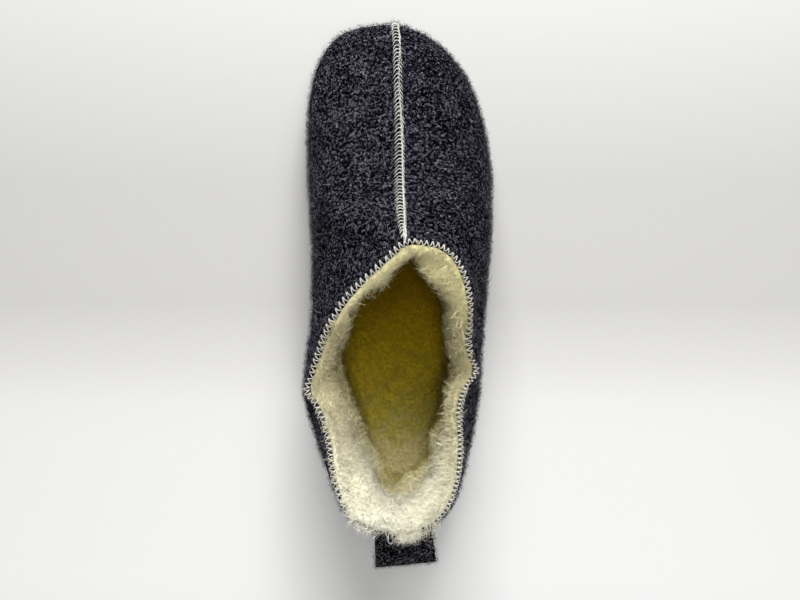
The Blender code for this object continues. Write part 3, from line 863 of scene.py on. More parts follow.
@dataclass
class FeltUpper:
    """The felt upper with its folds and nap. Its tables and folds are in millimetres from the heel's back.

    Attributes:
        felt: Its finish.
        heel_y: Where the heel's back is.
        wall: Distance from the lining that tells the felt's outer face from its inner face.
        swell: How far the outer face stands out to make up for its folds.
        sole_top: Height below which its sharp edges stay crisp.
        rim_low: Height that all of the collar's rim is above.
        rim_fade: Distance from the rim at which the wall is drawn in fully.
        ridge_start, ridge_fade, ridge_width: Where the seam's ridge starts, how softly, and its width.
        lumps: Widths and heights of its unevenness.
        nap: Its short fibres.
        ridge_rows: Where the seam's ridge lies, and how far it was sewn aside.
        waist_rows: How far the wall draws in on the big toe side and on the little toe side.
        folds: Its folds.
    """

    felt: FeltFinish
    heel_y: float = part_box(CadNode.UPPER.value)[0].y
    wall: float = 1.8 * MM
    swell: float = 0.3 * MM
    sole_top: float = 20 * MM
    rim_low: float = 40 * MM
    rim_fade: float = 14 * MM
    ridge_start: float = 140 * MM
    ridge_fade: float = 10 * MM
    ridge_width: float = 9 * MM
    lumps: Rows = ((16, 1.0), (3.2, 0.55))
    nap: Fibres = Fibres(1.4, 4.2, 0.095, 0.6, 0.6, count=19500, sunk=0.15)
    ridge_rows: Rows = (
        (150, 4.4, -1.0), (160, 3.1, -1.3), (172, 2.3, -1.4), (186, 1.7, -1.1), (204, 1.0, -0.4),
        (224, 0.5, -0.1), (240, 0.1, -0.3), (259, 0.1, -0.7), (275, 0.1, -2.0),
    )
    waist_rows: Rows = (
        (7, 2.4, 1.8), (19, 2.5, 2.0), (36, 1.9, 1.6), (53, 0.8, 1.0), (70, 0.0, 1.0), (87, 0.8, 0.8),
        (104, 2.0, 0.9), (139, 1.4, 1.5), (165, 1.4, 1.2), (190, 1.4, 0.5), (216, 0.9, 0.5), (246, 0.2, 0.8),
        (262, 0.0, 0.8),
    )
    folds: tuple[Fold, ...] = (
        Fold((7, 176, 97), (21, 160, 102), 0.8, 2.6),
        Fold((8, 168, 101), (17, 153, 104), 0.7, 2.2),
        Fold((-2, 172, 99), (-14, 156, 98), 0.6, 3.0),
        Fold((-38, 196, 58), (36, 190, 62), 0.5, 10.0),
        Fold((-46, 96, 62), (-50, 64, 42), 1.1, 7.0),
        Fold((43, 104, 62), (46, 74, 42), 1.1, 7.0),
        Fold((-30, 132, 86), (-44, 104, 66), -0.8, 8.0),
        Fold((-24, 6, 72), (24, 6, 70), 0.9, 9.0),
    )

    def build(self) -> "FeltUpper":
        """Makes the wall and its nap, and keeps what the stitches need: the rim and the skin."""
        lining = Skin(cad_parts[CadNode.LINING.value])
        self.piece = cad_copy(CadNode.UPPER, "felt_upper")
        self.rim = self.rim_loops(lining)
        crease_edges(self.piece, 1.0, self.sole_top)
        subdivide(self.piece)
        self.shape_felt(lining)
        seat(self.piece, self.felt.wall(), Slot.FELT, CadNode.UPPER)
        self.skin = Skin(self.piece)
        self.grow_nap(lining)
        return self

    def rim_loops(self, lining: Skin) -> tuple[Array, Array]:
        """The collar's outer and inner edges, as closed lines that start at the throat.

        Args:
            lining: Surface of the lining, which the inner face of the felt lies on.

        Returns:
            Points of the outer and of the inner edge.
        """
        points, _ = points_and_normals(self.piece)
        outside = lining.distances(points) > self.wall
        mesh = bmesh.new()
        mesh.from_mesh(self.piece.data)
        loops = []
        for wanted in (True, False):
            ahead: dict[int, list[int]] = {}
            for edge in mesh.edges:
                a, b = (vertex.index for vertex in edge.verts)
                kinds = [{bool(outside[vertex.index]) for vertex in face.verts} for face in edge.link_faces]
                on_rim = outside[a] == outside[b] == wanted and {wanted} in kinds and {True, False} in kinds
                if on_rim and points[a, 2] > self.rim_low:
                    ahead.setdefault(a, []).append(b)
                    ahead.setdefault(b, []).append(a)
            loops.append(points[self.walk(ahead, points)])
        mesh.free()
        return loops[0], loops[1]

    @staticmethod
    def walk(ahead: dict[int, list[int]], points: Array) -> list[int]:
        """Vertex numbers once round a loop, from its foremost vertex towards the little toe side."""
        start = max(ahead, key=lambda number: points[number, 1])
        path = [start, max(ahead[start], key=lambda number: points[number, 0])]
        while True:
            onward = [number for number in ahead[path[-1]] if number not in path[-2:]]
            if not onward or onward[0] == start:
                return path
            path.append(onward[0])

    def shape_felt(self, lining: Skin) -> None:
        """Roughens the outer face, sets the ridge aside, swells the face and presses the folds in."""
        roughen(self.piece, self.lumps)
        points, normals = points_and_normals(self.piece)
        outside = lining.distances(points) > self.wall
        ahead = points[:, 1] - self.heel_y
        ridge, shift = reading(np.array(self.ridge_rows) * MM, ahead)
        fade = ease((ahead - self.ridge_start) / self.ridge_fade)
        points[:, 0] += shift * fade * outside * hump((points[:, 0] - ridge) / self.ridge_width)
        move_points(self.piece, points)
        tree = Skin(self.piece).tree
        move = np.full(len(points), self.swell)
        for fold in self.folds:
            places = [Vector((x * MM, y * MM + self.heel_y, z * MM)) for x, y, z in (fold.start, fold.end)]
            start, end = (np.array(tree.find_nearest(place)[0]) for place in places)
            run = end - start
            share = np.clip((points - start) @ run / (run @ run), 0.0, 1.0)
            away = np.linalg.norm(points - start - share[:, None] * run, axis=1) / (fold.width * MM)
            move -= fold.depth * MM * np.sin(np.pi * (0.08 + 0.84 * share)) * hump(away)
        move_points(self.piece, points + normals * (move * outside)[:, None])
        self.draw_in(outside)

    def draw_in(self, outside: Array) -> None:
        """Draws the wall's outer face in, most where it faces sideways and not at the rim."""
        points, normals = points_and_normals(self.piece)
        below = nearest(self.rim[0], points)[1]
        inward = reading(np.array(self.waist_rows) * MM, points[:, 1] - self.heel_y)
        move = np.where(points[:, 0] < 0, inward[0], inward[1]) * np.abs(normals[:, 0])
        points[:, 0] -= np.sign(points[:, 0]) * move * outside * ease(below / self.rim_fade)
        move_points(self.piece, points)

    def grow_nap(self, lining: Skin) -> None:
        """Grows short fibres all over the outside, densest on the side walls."""
        skin = self.skin
        outside = lining.distances(skin.middles) > self.wall
        upright = np.abs(skin.normals[skin.triangles].mean(axis=1)[:, 2])
        weights = outside * (0.25 + 2.75 * ease(1.2 - 1.9 * upright))
        self.nap.cover("felt_nap", skin, Seed.FELT_NAP, weights, self.felt.nap(), Slot.FELT)


@dataclass
class SeamStitching:
    """Overlock thread over the raised seam, from the sole at the toe up to the throat.

    Attributes:
        upper: The felt that it is sewn on.
        finish: Material of the thread.
        thread: The thread.
        path_rows: Share of the upper's length from the heel, and millimetres that the seam lies aside there.
        chain_rows: Share of the seam's length from the toe, then millimetres that the chain lies from the
            seam's middle, the chain's thickness, the length of a stitch and half of the seam's width.
        length: The upper's length.
        end_gap: How far the stitches stay from the seam's ends.
        front_heights: Heights between which the seam climbs the toe.
        front_points, top_points: How many places are probed up the toe and along the top.
        top_start, throat_gap: Shares of the length at which the top starts and by which it stops short of
            the throat.
        crest_points, fine: How many points the seam's line has before and after it is evened out.
        evened: How many times it is evened out.
    """

    upper: FeltUpper
    finish: Material
    thread: Thread = Thread(0.25 * MM)
    path_rows: Rows = (
        (0.540, 3.4), (0.576, 1.8), (0.619, 0.9), (0.669, 0.6), (0.734, 0.6), (0.806, 0.4), (0.863, -0.2),
        (0.933, -0.6), (1.0, -1.9),
    )
    chain_rows: Rows = (
        (0.0, 1.5, 0.60, 3.0, 2.4), (0.24, 1.5, 0.60, 2.9, 2.5), (0.33, 0.5, 0.4, 2.7, 2.6),
        (0.45, 0.3, 0.4, 2.6, 2.65), (0.55, 0.9, 0.65, 2.4, 2.75), (0.7, 1.3, 0.75, 2.3, 2.9),
        (0.85, 1.5, 0.75, 2.2, 2.95), (0.90, 1.4, 0.70, 2.2, 2.7), (0.94, 1.1, 0.65, 2.1, 2.3),
        (1.0, 0.5, 0.60, 2.0, 1.3),
    )
    length: float = 278 * MM
    end_gap: float = 1.5 * MM
    front_heights: tuple[float, float] = (14 * MM, 44 * MM)
    front_points: int = 12
    top_points: int = 46
    top_start: float = 0.985
    throat_gap: float = 0.004
    crest_points: int = 200
    fine: int = 2000
    evened: int = 8

    def build(self) -> None:
        """Sews the seam."""
        self.line = resampled(self.crest(), self.fine)
        self.total = length_of(self.line)
        self.tangents = unit(np.gradient(self.line, axis=0))
        self.stitches: list[Stitch] = []
        rng = Seed.SEAM.rng()
        along = self.end_gap
        while along < self.total - self.end_gap:
            along += self.add_stitch(along, rng)
        self.add_tail(rng)
        self.thread.sew("seam_thread", self.stitches, self.finish)

    def crest(self) -> Array:
        """Points along the top of the seam, from the sole at the toe to the throat."""
        tree, heel = self.upper.skin.tree, self.upper.heel_y
        throat, toe = self.path_rows[0], self.path_rows[-1]
        front = []
        for z in np.linspace(*self.front_heights, self.front_points):
            start = Vector((toe[1] * MM, heel + 1.1 * self.length, z))
            front.append(tree.ray_cast(start, Vector((0, -1, 0)))[0])
        top = []
        for share in np.linspace(self.top_start, throat[0] + self.throat_gap, self.top_points):
            start = Vector((reading(self.path_rows, share)[0] * MM, heel + share * self.length, 0.3))
            top.append(tree.ray_cast(start, Vector((0, 0, -1)))[0])
        higher = [place for place in top if place.z > front[-1].z]
        line = resampled(np.array(front + higher), self.crest_points)
        for _ in range(self.evened):
            line[1:-1] = (line[:-2] + 2 * line[1:-1] + line[2:]) / 4
        return line

    def place(self, along: float, aside: float, lift: float) -> Array:
        """A place on the seam.

        Args:
            along: Distance from the seam's start.
            aside: Distance from its middle towards the little toe side.
            lift: Height above the felt.

        Returns:
            The place.
        """
        index = int(np.clip(along / self.total, 0.0, 1.0) * (len(self.line) - 1))
        tangent = self.tangents[index]
        normal = unit(np.cross(tangent, [1.0, 0.0, 0.0]))
        side = np.cross(normal, tangent)
        side = side if side[0] > 0 else -side
        return self.upper.skin.settle(self.line[index] + side * aside, normal, lift)

    def add_stitch(self, along: float, rng: Random) -> float:
        """One stitch: a strand from the left up to the chain, a link of the chain and a leg to the right.

        Args:
            along: Distance from the seam's start.
            rng: Source of the random numbers.

        Returns:
            The stitch's length.
        """
        chain, link, pitch, wide = reading(self.chain_rows, along / self.total)
        chain, pitch = chain * MM, pitch * MM * rng.uniform(0.92, 1.08)
        wide = wide * MM * rng.uniform(0.90, 1.06)
        right = wide - chain
        # Thickness, how far either end is sunk (darkened by covering felt and painted shade), and points:
        # aside, share of the length, lift in millimetres
        strands = (
            (1.05, (0.9, 0.0), ((-wide, 0.95, -0.35), (-0.80 * wide, 0.55, 0.05), (-0.45 * wide, 0.18, 0.30),
                                (-0.1 * wide, 0.0, 0.38), (chain, -0.05, 0.36))),
            (link, (0.0, 0.0), ((chain, -0.60, 0.30), (chain - 0.28 * MM, -0.2, 0.60),
                                (chain - 0.26 * MM, 0.3, 0.64), (chain + 0.1 * MM, 0.72, 0.45))),
            (link, (0.0, 0.0), ((chain, -0.60, 0.30), (chain + 0.30 * MM, -0.2, 0.56),
                                (chain + 0.28 * MM, 0.3, 0.60), (chain + 0.1 * MM, 0.72, 0.45))),
            (0.8, (0.0, 0.85), ((chain, 0.0, 0.42), (chain + 0.4 * right, 0.12, 0.36),
                                (chain + 0.75 * right, 0.45, 0.15), (wide, 0.45 + 0.5 * right / wide, -0.2))),
        )
        stray = rng.normal(0.0, 0.07)
        for thick, sunk, path in strands:
            places = [
                self.place(along + (share + stray) * pitch, aside + rng.normal(0.0, 0.1) * MM, lift * MM)
                for aside, share, lift in path
            ]
            self.stitches.append(Stitch(np.array(places), thick * rng.uniform(0.75, 1.2), sunk))
        return pitch

    def add_tail(self, rng: Random) -> None:
        """The thread's end, a loose bundle that runs over the throat into the collar."""
        for _ in range(4):
            aside = rng.normal(0.0, 0.35, 4) * MM
            lift = rng.uniform(0.2, 0.8, 4) * MM
            path = [self.place(self.total - back * MM, 0.4 * MM + 0.02 * back * MM + off, high)
                    for back, off, high in zip((10, 7, 4, 0.5), aside, lift)]
            path.append(path[-1] + np.array([-0.5, -2.0, -0.6]) * MM)
            path.append(path[-1] + np.array([-0.3, -1.0, -2.2]) * MM)
            self.stitches.append(Stitch(np.array(path), 0.72, (0.3, 0.0)))


@dataclass
class CollarStitching:
    """Zigzag stitches that bind felt and lining round the collar.

    Attributes:
        upper: The felt that they are sewn on.
        finish: Material of the thread.
        thread: The thread.
        front_pitch, rear_pitch: Length of a stitch before and behind the notches, little toe side first.
        notch_y: Where the notches are.
        tip_width: How far from a notch's tip the stitches lie on the rim.
        depth: How far a stitch reaches down the felt's outer face.
        fine: How many points the rim's lines have.
    """

    upper: FeltUpper
    finish: Material
    thread: Thread = Thread(0.24 * MM, points=24)
    front_pitch: tuple[float, float] = (3.0 * MM, 3.5 * MM)
    rear_pitch: tuple[float, float] = (2.5 * MM, 3.2 * MM)
    notch_y: float = -50 * MM
    tip_width: float = 9 * MM
    depth: float = 2.1 * MM
    fine: int = 3000

    def build(self) -> "CollarStitching":
        """Sews the teeth round the collar and keeps the lines of its rim."""
        self.trace_rim()
        rng = Seed.COLLAR.rng()
        marks = self.marks()
        stitches = []
        for start, end in zip(marks, marks[1:]):
            stitches.append(Stitch(self.tooth(start, end, rng), rng.uniform(0.85, 1.15)))
        stitches.append(Stitch(self.loose_end()))
        self.thread.sew("collar_thread", stitches, self.finish)
        return self

    def trace_rim(self) -> None:
        """Lines of the rim's outer and inner edge, point by point, its directions and its notches' tips."""
        self.outer, inner = (resampled(loop, self.fine, closed=True) for loop in self.upper.rim)
        self.inner = inner[nearest(inner, self.outer)[0]]
        tangents = unit(np.roll(self.outer, -4, axis=0) - np.roll(self.outer, 4, axis=0))
        thick = unit(self.outer - self.inner)
        down = unit(np.cross(thick, tangents))
        down = down if down[:, 2].sum() < 0 else -down
        self.thick, self.down = unit(smoothed(thick, 12)), unit(smoothed(down, 12))
        sides = [np.flatnonzero(self.outer[:, 0] * side > 30 * MM) for side in (-1, 1)]
        tips = [self.outer[side[self.outer[side, 2].argmin()]] for side in sides]
        close = [np.exp(-((self.outer - tip) ** 2).sum(axis=1) / self.tip_width**2) for tip in tips]
        self.near_tip = np.max(close, axis=0)

    def marks(self) -> list[int]:
        """Numbers of the rim's points where one stitch ends and the next starts."""
        step = length_of(np.vstack([self.outer, self.outer[:1]])) / self.fine
        marks = [0]
        while marks[-1] < self.fine:
            x, y, _ = self.outer[marks[-1]]
            pitches = self.front_pitch if y > self.notch_y else self.rear_pitch
            marks.append(marks[-1] + round((pitches[0] if x > 0 else pitches[1]) / step))
        return marks[:-1] + [self.fine]

    def tooth(self, start: int, end: int, rng: Random) -> Array:
        """Points of one stitch, from the wool over the rim, down the felt and back.

        Args:
            start: Number of the rim's point where it starts.
            end: Number of the one where it ends.
            rng: Source of the random numbers.

        Returns:
            The points.
        """
        skin = self.upper.skin
        deep = self.depth * rng.uniform(0.72, 1.2)
        middle = self.outer[(start + end) // 2 % self.fine]
        slanted = middle[0] < 0 and middle[1] > self.notch_y
        peak, first = (0.68, 0.12) if slanted else (0.52, 0.06)
        peak, last = peak + rng.normal(0.0, 0.05), 1.0 - first
        # Reach is -2 in the wool, -1 on the rim, 0 at its outer edge and 1 at the tooth's point on the felt
        there = [(first + (peak - first) * (reach + 1) / 2, reach) for reach in (-1, 0, 0.5, 1)]
        back = [(last + (peak - last) * (reach + 1) / 2, reach) for reach in (0.5, 0, -1)]
        path = []
        for share, reach in [(first, -2), *there, *back, (last, -2)]:
            n = round(start + share * (end - start)) % self.fine
            outer, inner, down, thick = self.outer[n], self.inner[n], self.down[n], self.thick[n]
            if reach == -2:
                place = inner + 0.8 * MM * down - 1.2 * MM * thick
            elif reach == -1:
                place = 0.45 * outer + 0.55 * inner - 0.45 * MM * down
            elif reach == 0:
                place = outer - 0.40 * MM * down - 0.2 * MM * thick
            else:
                place = skin.settle(outer + reach * deep * down, thick, 0.25 * MM, 3 * MM)
            flat = ease(1.6 * self.near_tip[n]) * (reach > -2)
            level = inner + (reach + 1) / 2 * (outer - inner)
            level[2] = max(level[2], skin.settle(level, UP, 0.0)[2]) + 0.3 * MM
            path.append((1 - flat) * place + flat * level)
        return np.array(path)

    def loose_end(self) -> Array:
        """A short end of thread that hangs out over the pull loop."""
        start = self.outer[np.argmin(self.outer[:, 1])] + np.array([-4.5, 0.5, 2.0]) * MM
        turns = [[0, 0, 0], [-0.3, -2.2, 0.4], [0.2, -4.2, -1.2], [1.4, -4.8, -2.0], [1.7, -3.8, -1.6]]
        return start + np.array(turns) * MM


@dataclass(frozen=True)
class Tuft:
    """A lock of wool that stands out of the lining near a place, in millimetres of the shoe's frame."""

    place: Place
    reach: float
    width: float

    def near(self, points: Array, middle: Array) -> Array:
        """How strongly the lock shows at each point, if this is its middle."""
        return hump(np.linalg.norm(points - middle, axis=1) / (self.width * MM))


@dataclass(frozen=True)
class Wisp:
    """Loose fibres at the heel's rim.

    Attributes:
        aside: Where their middle is, in millimetres towards the little toe side.
        spread: How far they spread along the rim, in millimetres.
        lean: Direction in which they lie.
        count: How many there are.
    """

    aside: float
    spread: float
    lean: Place
    count: int


@dataclass
class WoolLining:
    """The pile lining: its tufts, its soft edge inside the felt's rim and its single fibres.

    Attributes:
        collar: The collar that it is sewn to.
        wool: Its finish.
        inset: How far its face is drawn back for the fibres.
        edge_radius: Radius of its soft edge.
        edge_points: How many points the soft edge has.
        voxel: Size at which pile and edge are merged.
        lumps: Widths and heights of its unevenness.
        skin_gap: Distance from the felt from which its face counts as free.
        bed: Height of the footbed's top, which nothing is filled out below.
        foot_fill, foot_top, foot_fade: How far it is filled out at the foot, up to where and how softly.
        pile, ends, fringe, loose: Fibres of its face, of its locks' ends, along the collar and in the wisps.
        fullness: Millimetres from heel to toe in the shoe's frame, and how much further the pile reaches into
            the hollow there, on the big toe side and on the little toe side.
        clipped_rows: Millimetres from heel to toe, and share of their length that the edge's fibres keep
            there on the big toe side.
        wisps, tufts: Its wisps and its tufts.
    """

    collar: CollarStitching
    wool: WoolFinish
    inset: float = 1.0 * MM
    edge_radius: float = 3.0 * MM
    edge_points: int = 420
    voxel: float = 1.7 * MM
    lumps: Rows = ((8, 1.3),)
    skin_gap: float = 1.5 * MM
    bed: float = 8 * MM
    foot_fill: float = 4.5 * MM
    foot_top: float = 36 * MM
    foot_fade: float = 14 * MM
    pile: Fibres = Fibres(5.0, 10.0, 0.08, 0.34, 0.4, count=14000, locks=1500, pull=0.15, mixed=0.5)
    ends: Fibres = Fibres(4.0, 8.0, 0.10, 0.75, 0.35, count=6000, locks=260, pull=0.7, mixed=0.4, astray=0.6)
    fringe: Fibres = Fibres(2.5, 6.0, 0.11, 0.32, 0.45, count=6500, locks=2200, pull=0.2, mixed=0.4, sunk=0.0)
    loose: Fibres = Fibres(2.5, 5.5, 0.065, 0.35, 0.5, rings=4, locks=60, pull=0.35, sunk=0.0)
    fullness: Rows = (
        (-116, 4.0, 3.0), (-105, 7.0, 3.0), (-98, 8.0, 1.5), (-90, 6.0, 2.0), (-81, 3.0, 1.5),
        (-74, 3.5, -2.0), (-65, 2.5, -1.0), (-58, 1.5, 0.0), (-51, -0.5, -3.0), (-43, -1.8, -1.5),
        (-36, -1.5, 0.0), (-28, 1.5, 0.0), (-20, -0.5, 0.0), (-13, -4.5, 0.0), (-9, -6.0, 1.0),
        (-4, -6.0, 2.8), (0, 1.5, 4.8), (5, -0.5, 6.0), (9, -3.0, 7.0),
    )
    clipped_rows: Rows = ((-24, 1.0), (-17, 0.5), (-5, 0.4), (-2, 1.0))
    wisps: tuple[Wisp, ...] = (
        Wisp(3.0, 2.2, (0.15, -1.0, -0.35), 260),
        Wisp(8.0, 2.5, (0.35, -1.0, -0.30), 140),
        Wisp(-15.0, 4.0, (-0.9, -0.5, 0.05), 70),
        Wisp(16.0, 4.0, (0.9, -0.4, 0.05), 40),
    )
    tufts: tuple[Tuft, ...] = (
        Tuft((-10, 5, 84), 7.0, 7),
        Tuft((-22, -3, 75), -3.0, 8),
        Tuft((17, 6, 85), 4.5, 12),
        Tuft((30, -15, 62), 5.5, 24),
        Tuft((-30, -28, 60), 2.5, 8),
        Tuft((-34, -48, 50), 4.0, 16),
        Tuft((-28, -76, 52), 6.0, 20),
        Tuft((-18, -98, 45), 5.0, 12),
        Tuft((20, -85, 48), 4.0, 11),
        Tuft((12, -108, 40), 6.0, 14),
        Tuft((-8, -114, 32), 4.0, 10),
        Tuft((26, -52, 50), 2.0, 12),
    )

    def build(self) -> None:
        """Makes the pile with its edge, and its fibres."""
        felt = Skin(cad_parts[CadNode.UPPER.value])
        piece = cad_copy(CadNode.LINING, "wool_lining")
        crease_edges(piece, 1.0, self.collar.upper.sole_top)
        subdivide(piece)
        self.raise_tufts(piece, felt)
        edge = self.soft_edge()
        activate(piece)
        edge.select_set(True)
        bpy.ops.object.join()
        apply_modifier(piece, "REMESH", mode="VOXEL", voxel_size=self.voxel, use_smooth_shade=True)
        apply_modifier(piece, "SMOOTH", factor=0.6, iterations=5)
        roughen(piece, self.lumps)
        seat(piece, self.wool.material(stranded=False), Slot.WOOL, CadNode.LINING)
        self.skin = Skin(piece)
        strands = self.wool.material(stranded=True)
        self.grow_pile(felt, strands)
        self.grow_fringe(strands)
        self.grow_loose(strands)

    def raise_tufts(self, piece: Piece, felt: Skin) -> None:
        """Draws the pile's face back for its fibres, fills it out at the foot and raises the tufts.

        Args:
            piece: The pile.
            felt: Surface of the felt, which the pile's back lies on.
        """
        points, normals = points_and_normals(piece)
        above = points[:, 2] - self.bed
        face = ease((felt.distances(points) - 1.0 * MM) / (2.0 * MM))
        foot = ease((self.foot_top - points[:, 2]) / self.foot_fade) * ease(above / (8 * MM))
        move = self.foot_fill * foot - self.inset
        inside = np.flatnonzero(face > 0.9)
        for tuft in self.tufts:
            gaps = np.linalg.norm(points[inside] - np.array(tuft.place) * MM, axis=1)
            move = move + tuft.reach * MM * tuft.near(points, points[inside[gaps.argmin()]])
        moved = points + normals * (move * face)[:, None]
        below = nearest(self.collar.inner, points)[1]
        more = reading(np.array(self.fullness) * MM, points[:, 1])
        more = np.where(points[:, 0] < 0, more[0], -more[1]) * ease(np.abs(points[:, 0]) / (10 * MM))
        moved[:, 0] += more * face * ease(below / (7 * MM)) * ease(above / (10 * MM))
        move_points(piece, moved)

    def soft_edge(self) -> Piece:
        """A soft bead of wool inside the felt's rim."""
        collar = self.collar
        behind = self.behind(collar.inner)
        outward, lower = (0.4 * behind - 1.2) * MM, (1.0 - 1.2 * behind) * MM
        line = collar.inner + outward * collar.thick + lower * collar.down
        line = smoothed(line - 0.2 * MM * collar.near_tip[:, None] * collar.thick, 5)
        ring = resampled(line[::10], self.edge_points, closed=True)
        paths = np.vstack([ring, ring[:1]])[None]
        marked = np.column_stack([line, collar.near_tip])[::10]
        tips = resampled(marked, self.edge_points, closed=True)[:, 3]
        radii = self.edge_radius * (1.0 + 0.2 * ease((-104 * MM - paths[..., 1]) / (12 * MM)))
        radii = radii * (1.0 - 0.25 * np.append(tips, tips[0]))
        return piece_from_arrays("wool_edge", *swept(paths, radii, 8))

    @staticmethod
    def behind(places: Array) -> Array:
        """How far places are round the heel, where the wool covers the rim: later on the little toe side."""
        start, later, fade = -106, 8, 12 * MM
        starts = (start - later * ease(places[:, :1] / fade)) * MM
        return ease((starts - places[:, 1:2]) / fade)

    def grow_pile(self, felt: Skin, finish: Material) -> None:
        """Fibres on the pile's face on either side, denser towards the collar, and the ends of its locks.

        Args:
            felt: Surface of the felt, which the pile's back lies on.
            finish: Material of the fibres.
        """
        barrier = self.collar.upper.skin
        middles = self.skin.middles
        x, y, z = middles.T
        face = felt.distances(middles) > self.skin_gap
        high = 0.25 + ease((z - 30 * MM) / (45 * MM))
        for tuft in self.tufts:
            high = high + 0.6 * tuft.near(middles, np.array(tuft.place) * MM)
        seen = face * (y < 30 * MM) * (z > 15 * MM)
        sides = (("wool_inner_side", x < 0, Seed.INNER_PILE), ("wool_outer_side", x >= 0, Seed.OUTER_PILE))
        for name, side, seed in sides:
            weights = high * seen * side
            self.pile.cover(name, self.skin, seed, weights, finish, Slot.WOOL, self.combed, barrier)
        halfway = face * (y < 4 * MM) * (y > -114 * MM) * hump((z - 46 * MM) / (14 * MM))
        self.ends.cover("wool_ends", self.skin, Seed.ENDS, halfway, finish, Slot.WOOL, self.combed, barrier)

    @staticmethod
    def combed(places: Array) -> Array:
        """Directions in which the pile lies: down into the hollow, in slow swirls."""
        x, y, z = (places / (13 * MM)).T
        swirl = [np.sin(1.7 * y + np.cos(1.3 * z)), np.sin(1.9 * x + z), np.cos(1.3 * x + 1.1 * y)]
        downward = [-0.8 * np.sign(x), np.zeros_like(x), np.full_like(x, -0.8)]
        return np.column_stack(downward) + 0.7 * np.column_stack(swirl)

    def grow_fringe(self, finish: Material) -> None:
        """Fibres along the collar's edge, which lap over the rim at the heel."""
        collar, count = self.collar, self.fringe.count
        rng = Seed.FRINGE.rng()
        picked = rng.integers(0, len(collar.outer), count)
        outer, inner, down = collar.outer[picked], collar.inner[picked], collar.down[picked]
        tips = collar.near_tip[picked, None]
        behind = self.behind(outer)
        across = rng.uniform(0.7, 2.2, (count, 1)) - 0.7 * behind * rng.random((count, 1))
        across = across + 0.5 * tips
        roots = outer * (1 - across) + inner * across
        roots = np.array([self.skin.settle(root, -way, -0.2 * MM) for root, way in zip(roots, down)])
        normals = unit(-down + 0.25 * rng.normal(size=roots.shape))
        aside = rng.normal(-0.4, 0.6, (count, 1)) + 0.3 * behind - 0.5 * tips
        lean = laid(aside * collar.thick[picked] + 0.6 * rng.normal(size=roots.shape), normals)
        clipped = np.where(roots[:, 0] < 0, reading(self.clipped_rows, roots[:, 1] / MM)[0], 1.0)
        clipped = clipped * (1.0 - 0.5 * behind[:, 0]) * (1.0 - 0.5 * tips[:, 0])
        self.fringe.grow("wool_fringe", rng, roots, normals, lean, finish, Slot.WOOL, clipped=clipped)

    def grow_loose(self, finish: Material) -> None:
        """Loose wisps over the pull loop and round the heel."""
        collar = self.collar
        rng = Seed.WISPS.rng()
        back = np.flatnonzero(collar.outer[:, 1] < -108 * MM)
        roots, lean = [], []
        for wisp in self.wisps:
            near = hump((collar.outer[back, 0] / MM - wisp.aside) / wisp.spread) + 1e-6
            picked = rng.choice(back, wisp.count, p=near / near.sum())
            roots.append(collar.outer[picked] - 1.6 * MM * collar.down[picked])
            lean.append(np.array(wisp.lean) + 0.4 * rng.normal(size=(wisp.count, 3)))
        starts, along = np.vstack(roots), unit(np.vstack(lean))
        starts = starts + rng.normal(0.0, 0.8, starts.shape) * MM
        normals = unit(np.cross(np.cross(along, UP), along))
        self.loose.grow("wool_lock", rng, starts, normals, along, finish, Slot.WOOL)


@dataclass
class WoolInsole:
    """The footbed of felted wool, spread a little under the pile, and its fibres."""

    wool: WoolFinish
    spread: float = 2.5 * MM
    lumps: Rows = ((12, 1.6), (4, 0.8))
    pile: Fibres = Fibres(3.0, 7.0, 0.10, 0.15, 0.4, count=2200, locks=260, pull=0.4)

    def build(self) -> None:
        """Makes the footbed and its fibres."""
        piece = cad_copy(CadNode.INSOLE, "wool_insole")
        crease_edges(piece, 0.7)
        subdivide(piece)
        points, _ = points_and_normals(piece)
        low, high = (np.array(corner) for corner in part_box(CadNode.INSOLE.value))
        middle, size = (low + high) / 2, high - low
        size[2] = np.inf
        move_points(piece, points + (points - middle) * (2 * self.spread / size))
        roughen(piece, self.lumps)
        seat(piece, self.wool.material(stranded=False), Slot.WOOL, CadNode.INSOLE)
        skin = Skin(piece)
        seen = (skin.middles[:, 2] > low[2] + 5 * MM) * (skin.middles[:, 1] < high[1] - 80 * MM)
        strands = self.wool.material(stranded=True)
        self.pile.cover("insole_wool", skin, Seed.FOOTBED, seen.astype(float), strands, Slot.WOOL)


@dataclass
class RubberSole:
    """The outsole with a fine moulded tread."""

    rubber: RubberFinish
    rib: float = 0.8 * MM
    groove: float = 0.7 * MM
    least_area: float = 9 * MM * MM

    def build(self) -> None:
        """Makes the sole and presses its tread into the underside."""
        piece = cad_copy(CadNode.OUTSOLE, "rubber_sole")
        self.select_underside(piece, 4 * self.least_area)
        bpy.ops.mesh.subdivide(number_cuts=1)
        bpy.ops.object.mode_set(mode="OBJECT")
        self.select_underside(piece, self.least_area)
        bpy.ops.mesh.inset(thickness=self.rib, depth=-self.groove, use_individual=True)
        bpy.ops.object.mode_set(mode="OBJECT")
        bpy.ops.object.shade_smooth_by_angle(angle=math.radians(35))
        seat(piece, self.rubber.material(), Slot.RUBBER, CadNode.OUTSOLE)

    @staticmethod
    def select_underside(piece: Piece, least_area: float) -> None:
        """Goes to edit mode with the squarish faces of the underside selected."""
        for face in open_mesh(piece, "FACE").faces:
            sides = sorted(edge.calc_length() for edge in face.edges)
            square = len(sides) == 4 and sides[-1] < 4 * sides[0] and face.calc_area() > least_area
            face.select_set(square and face.normal.z < -0.9)
        bmesh.update_edit_mesh(piece.data)


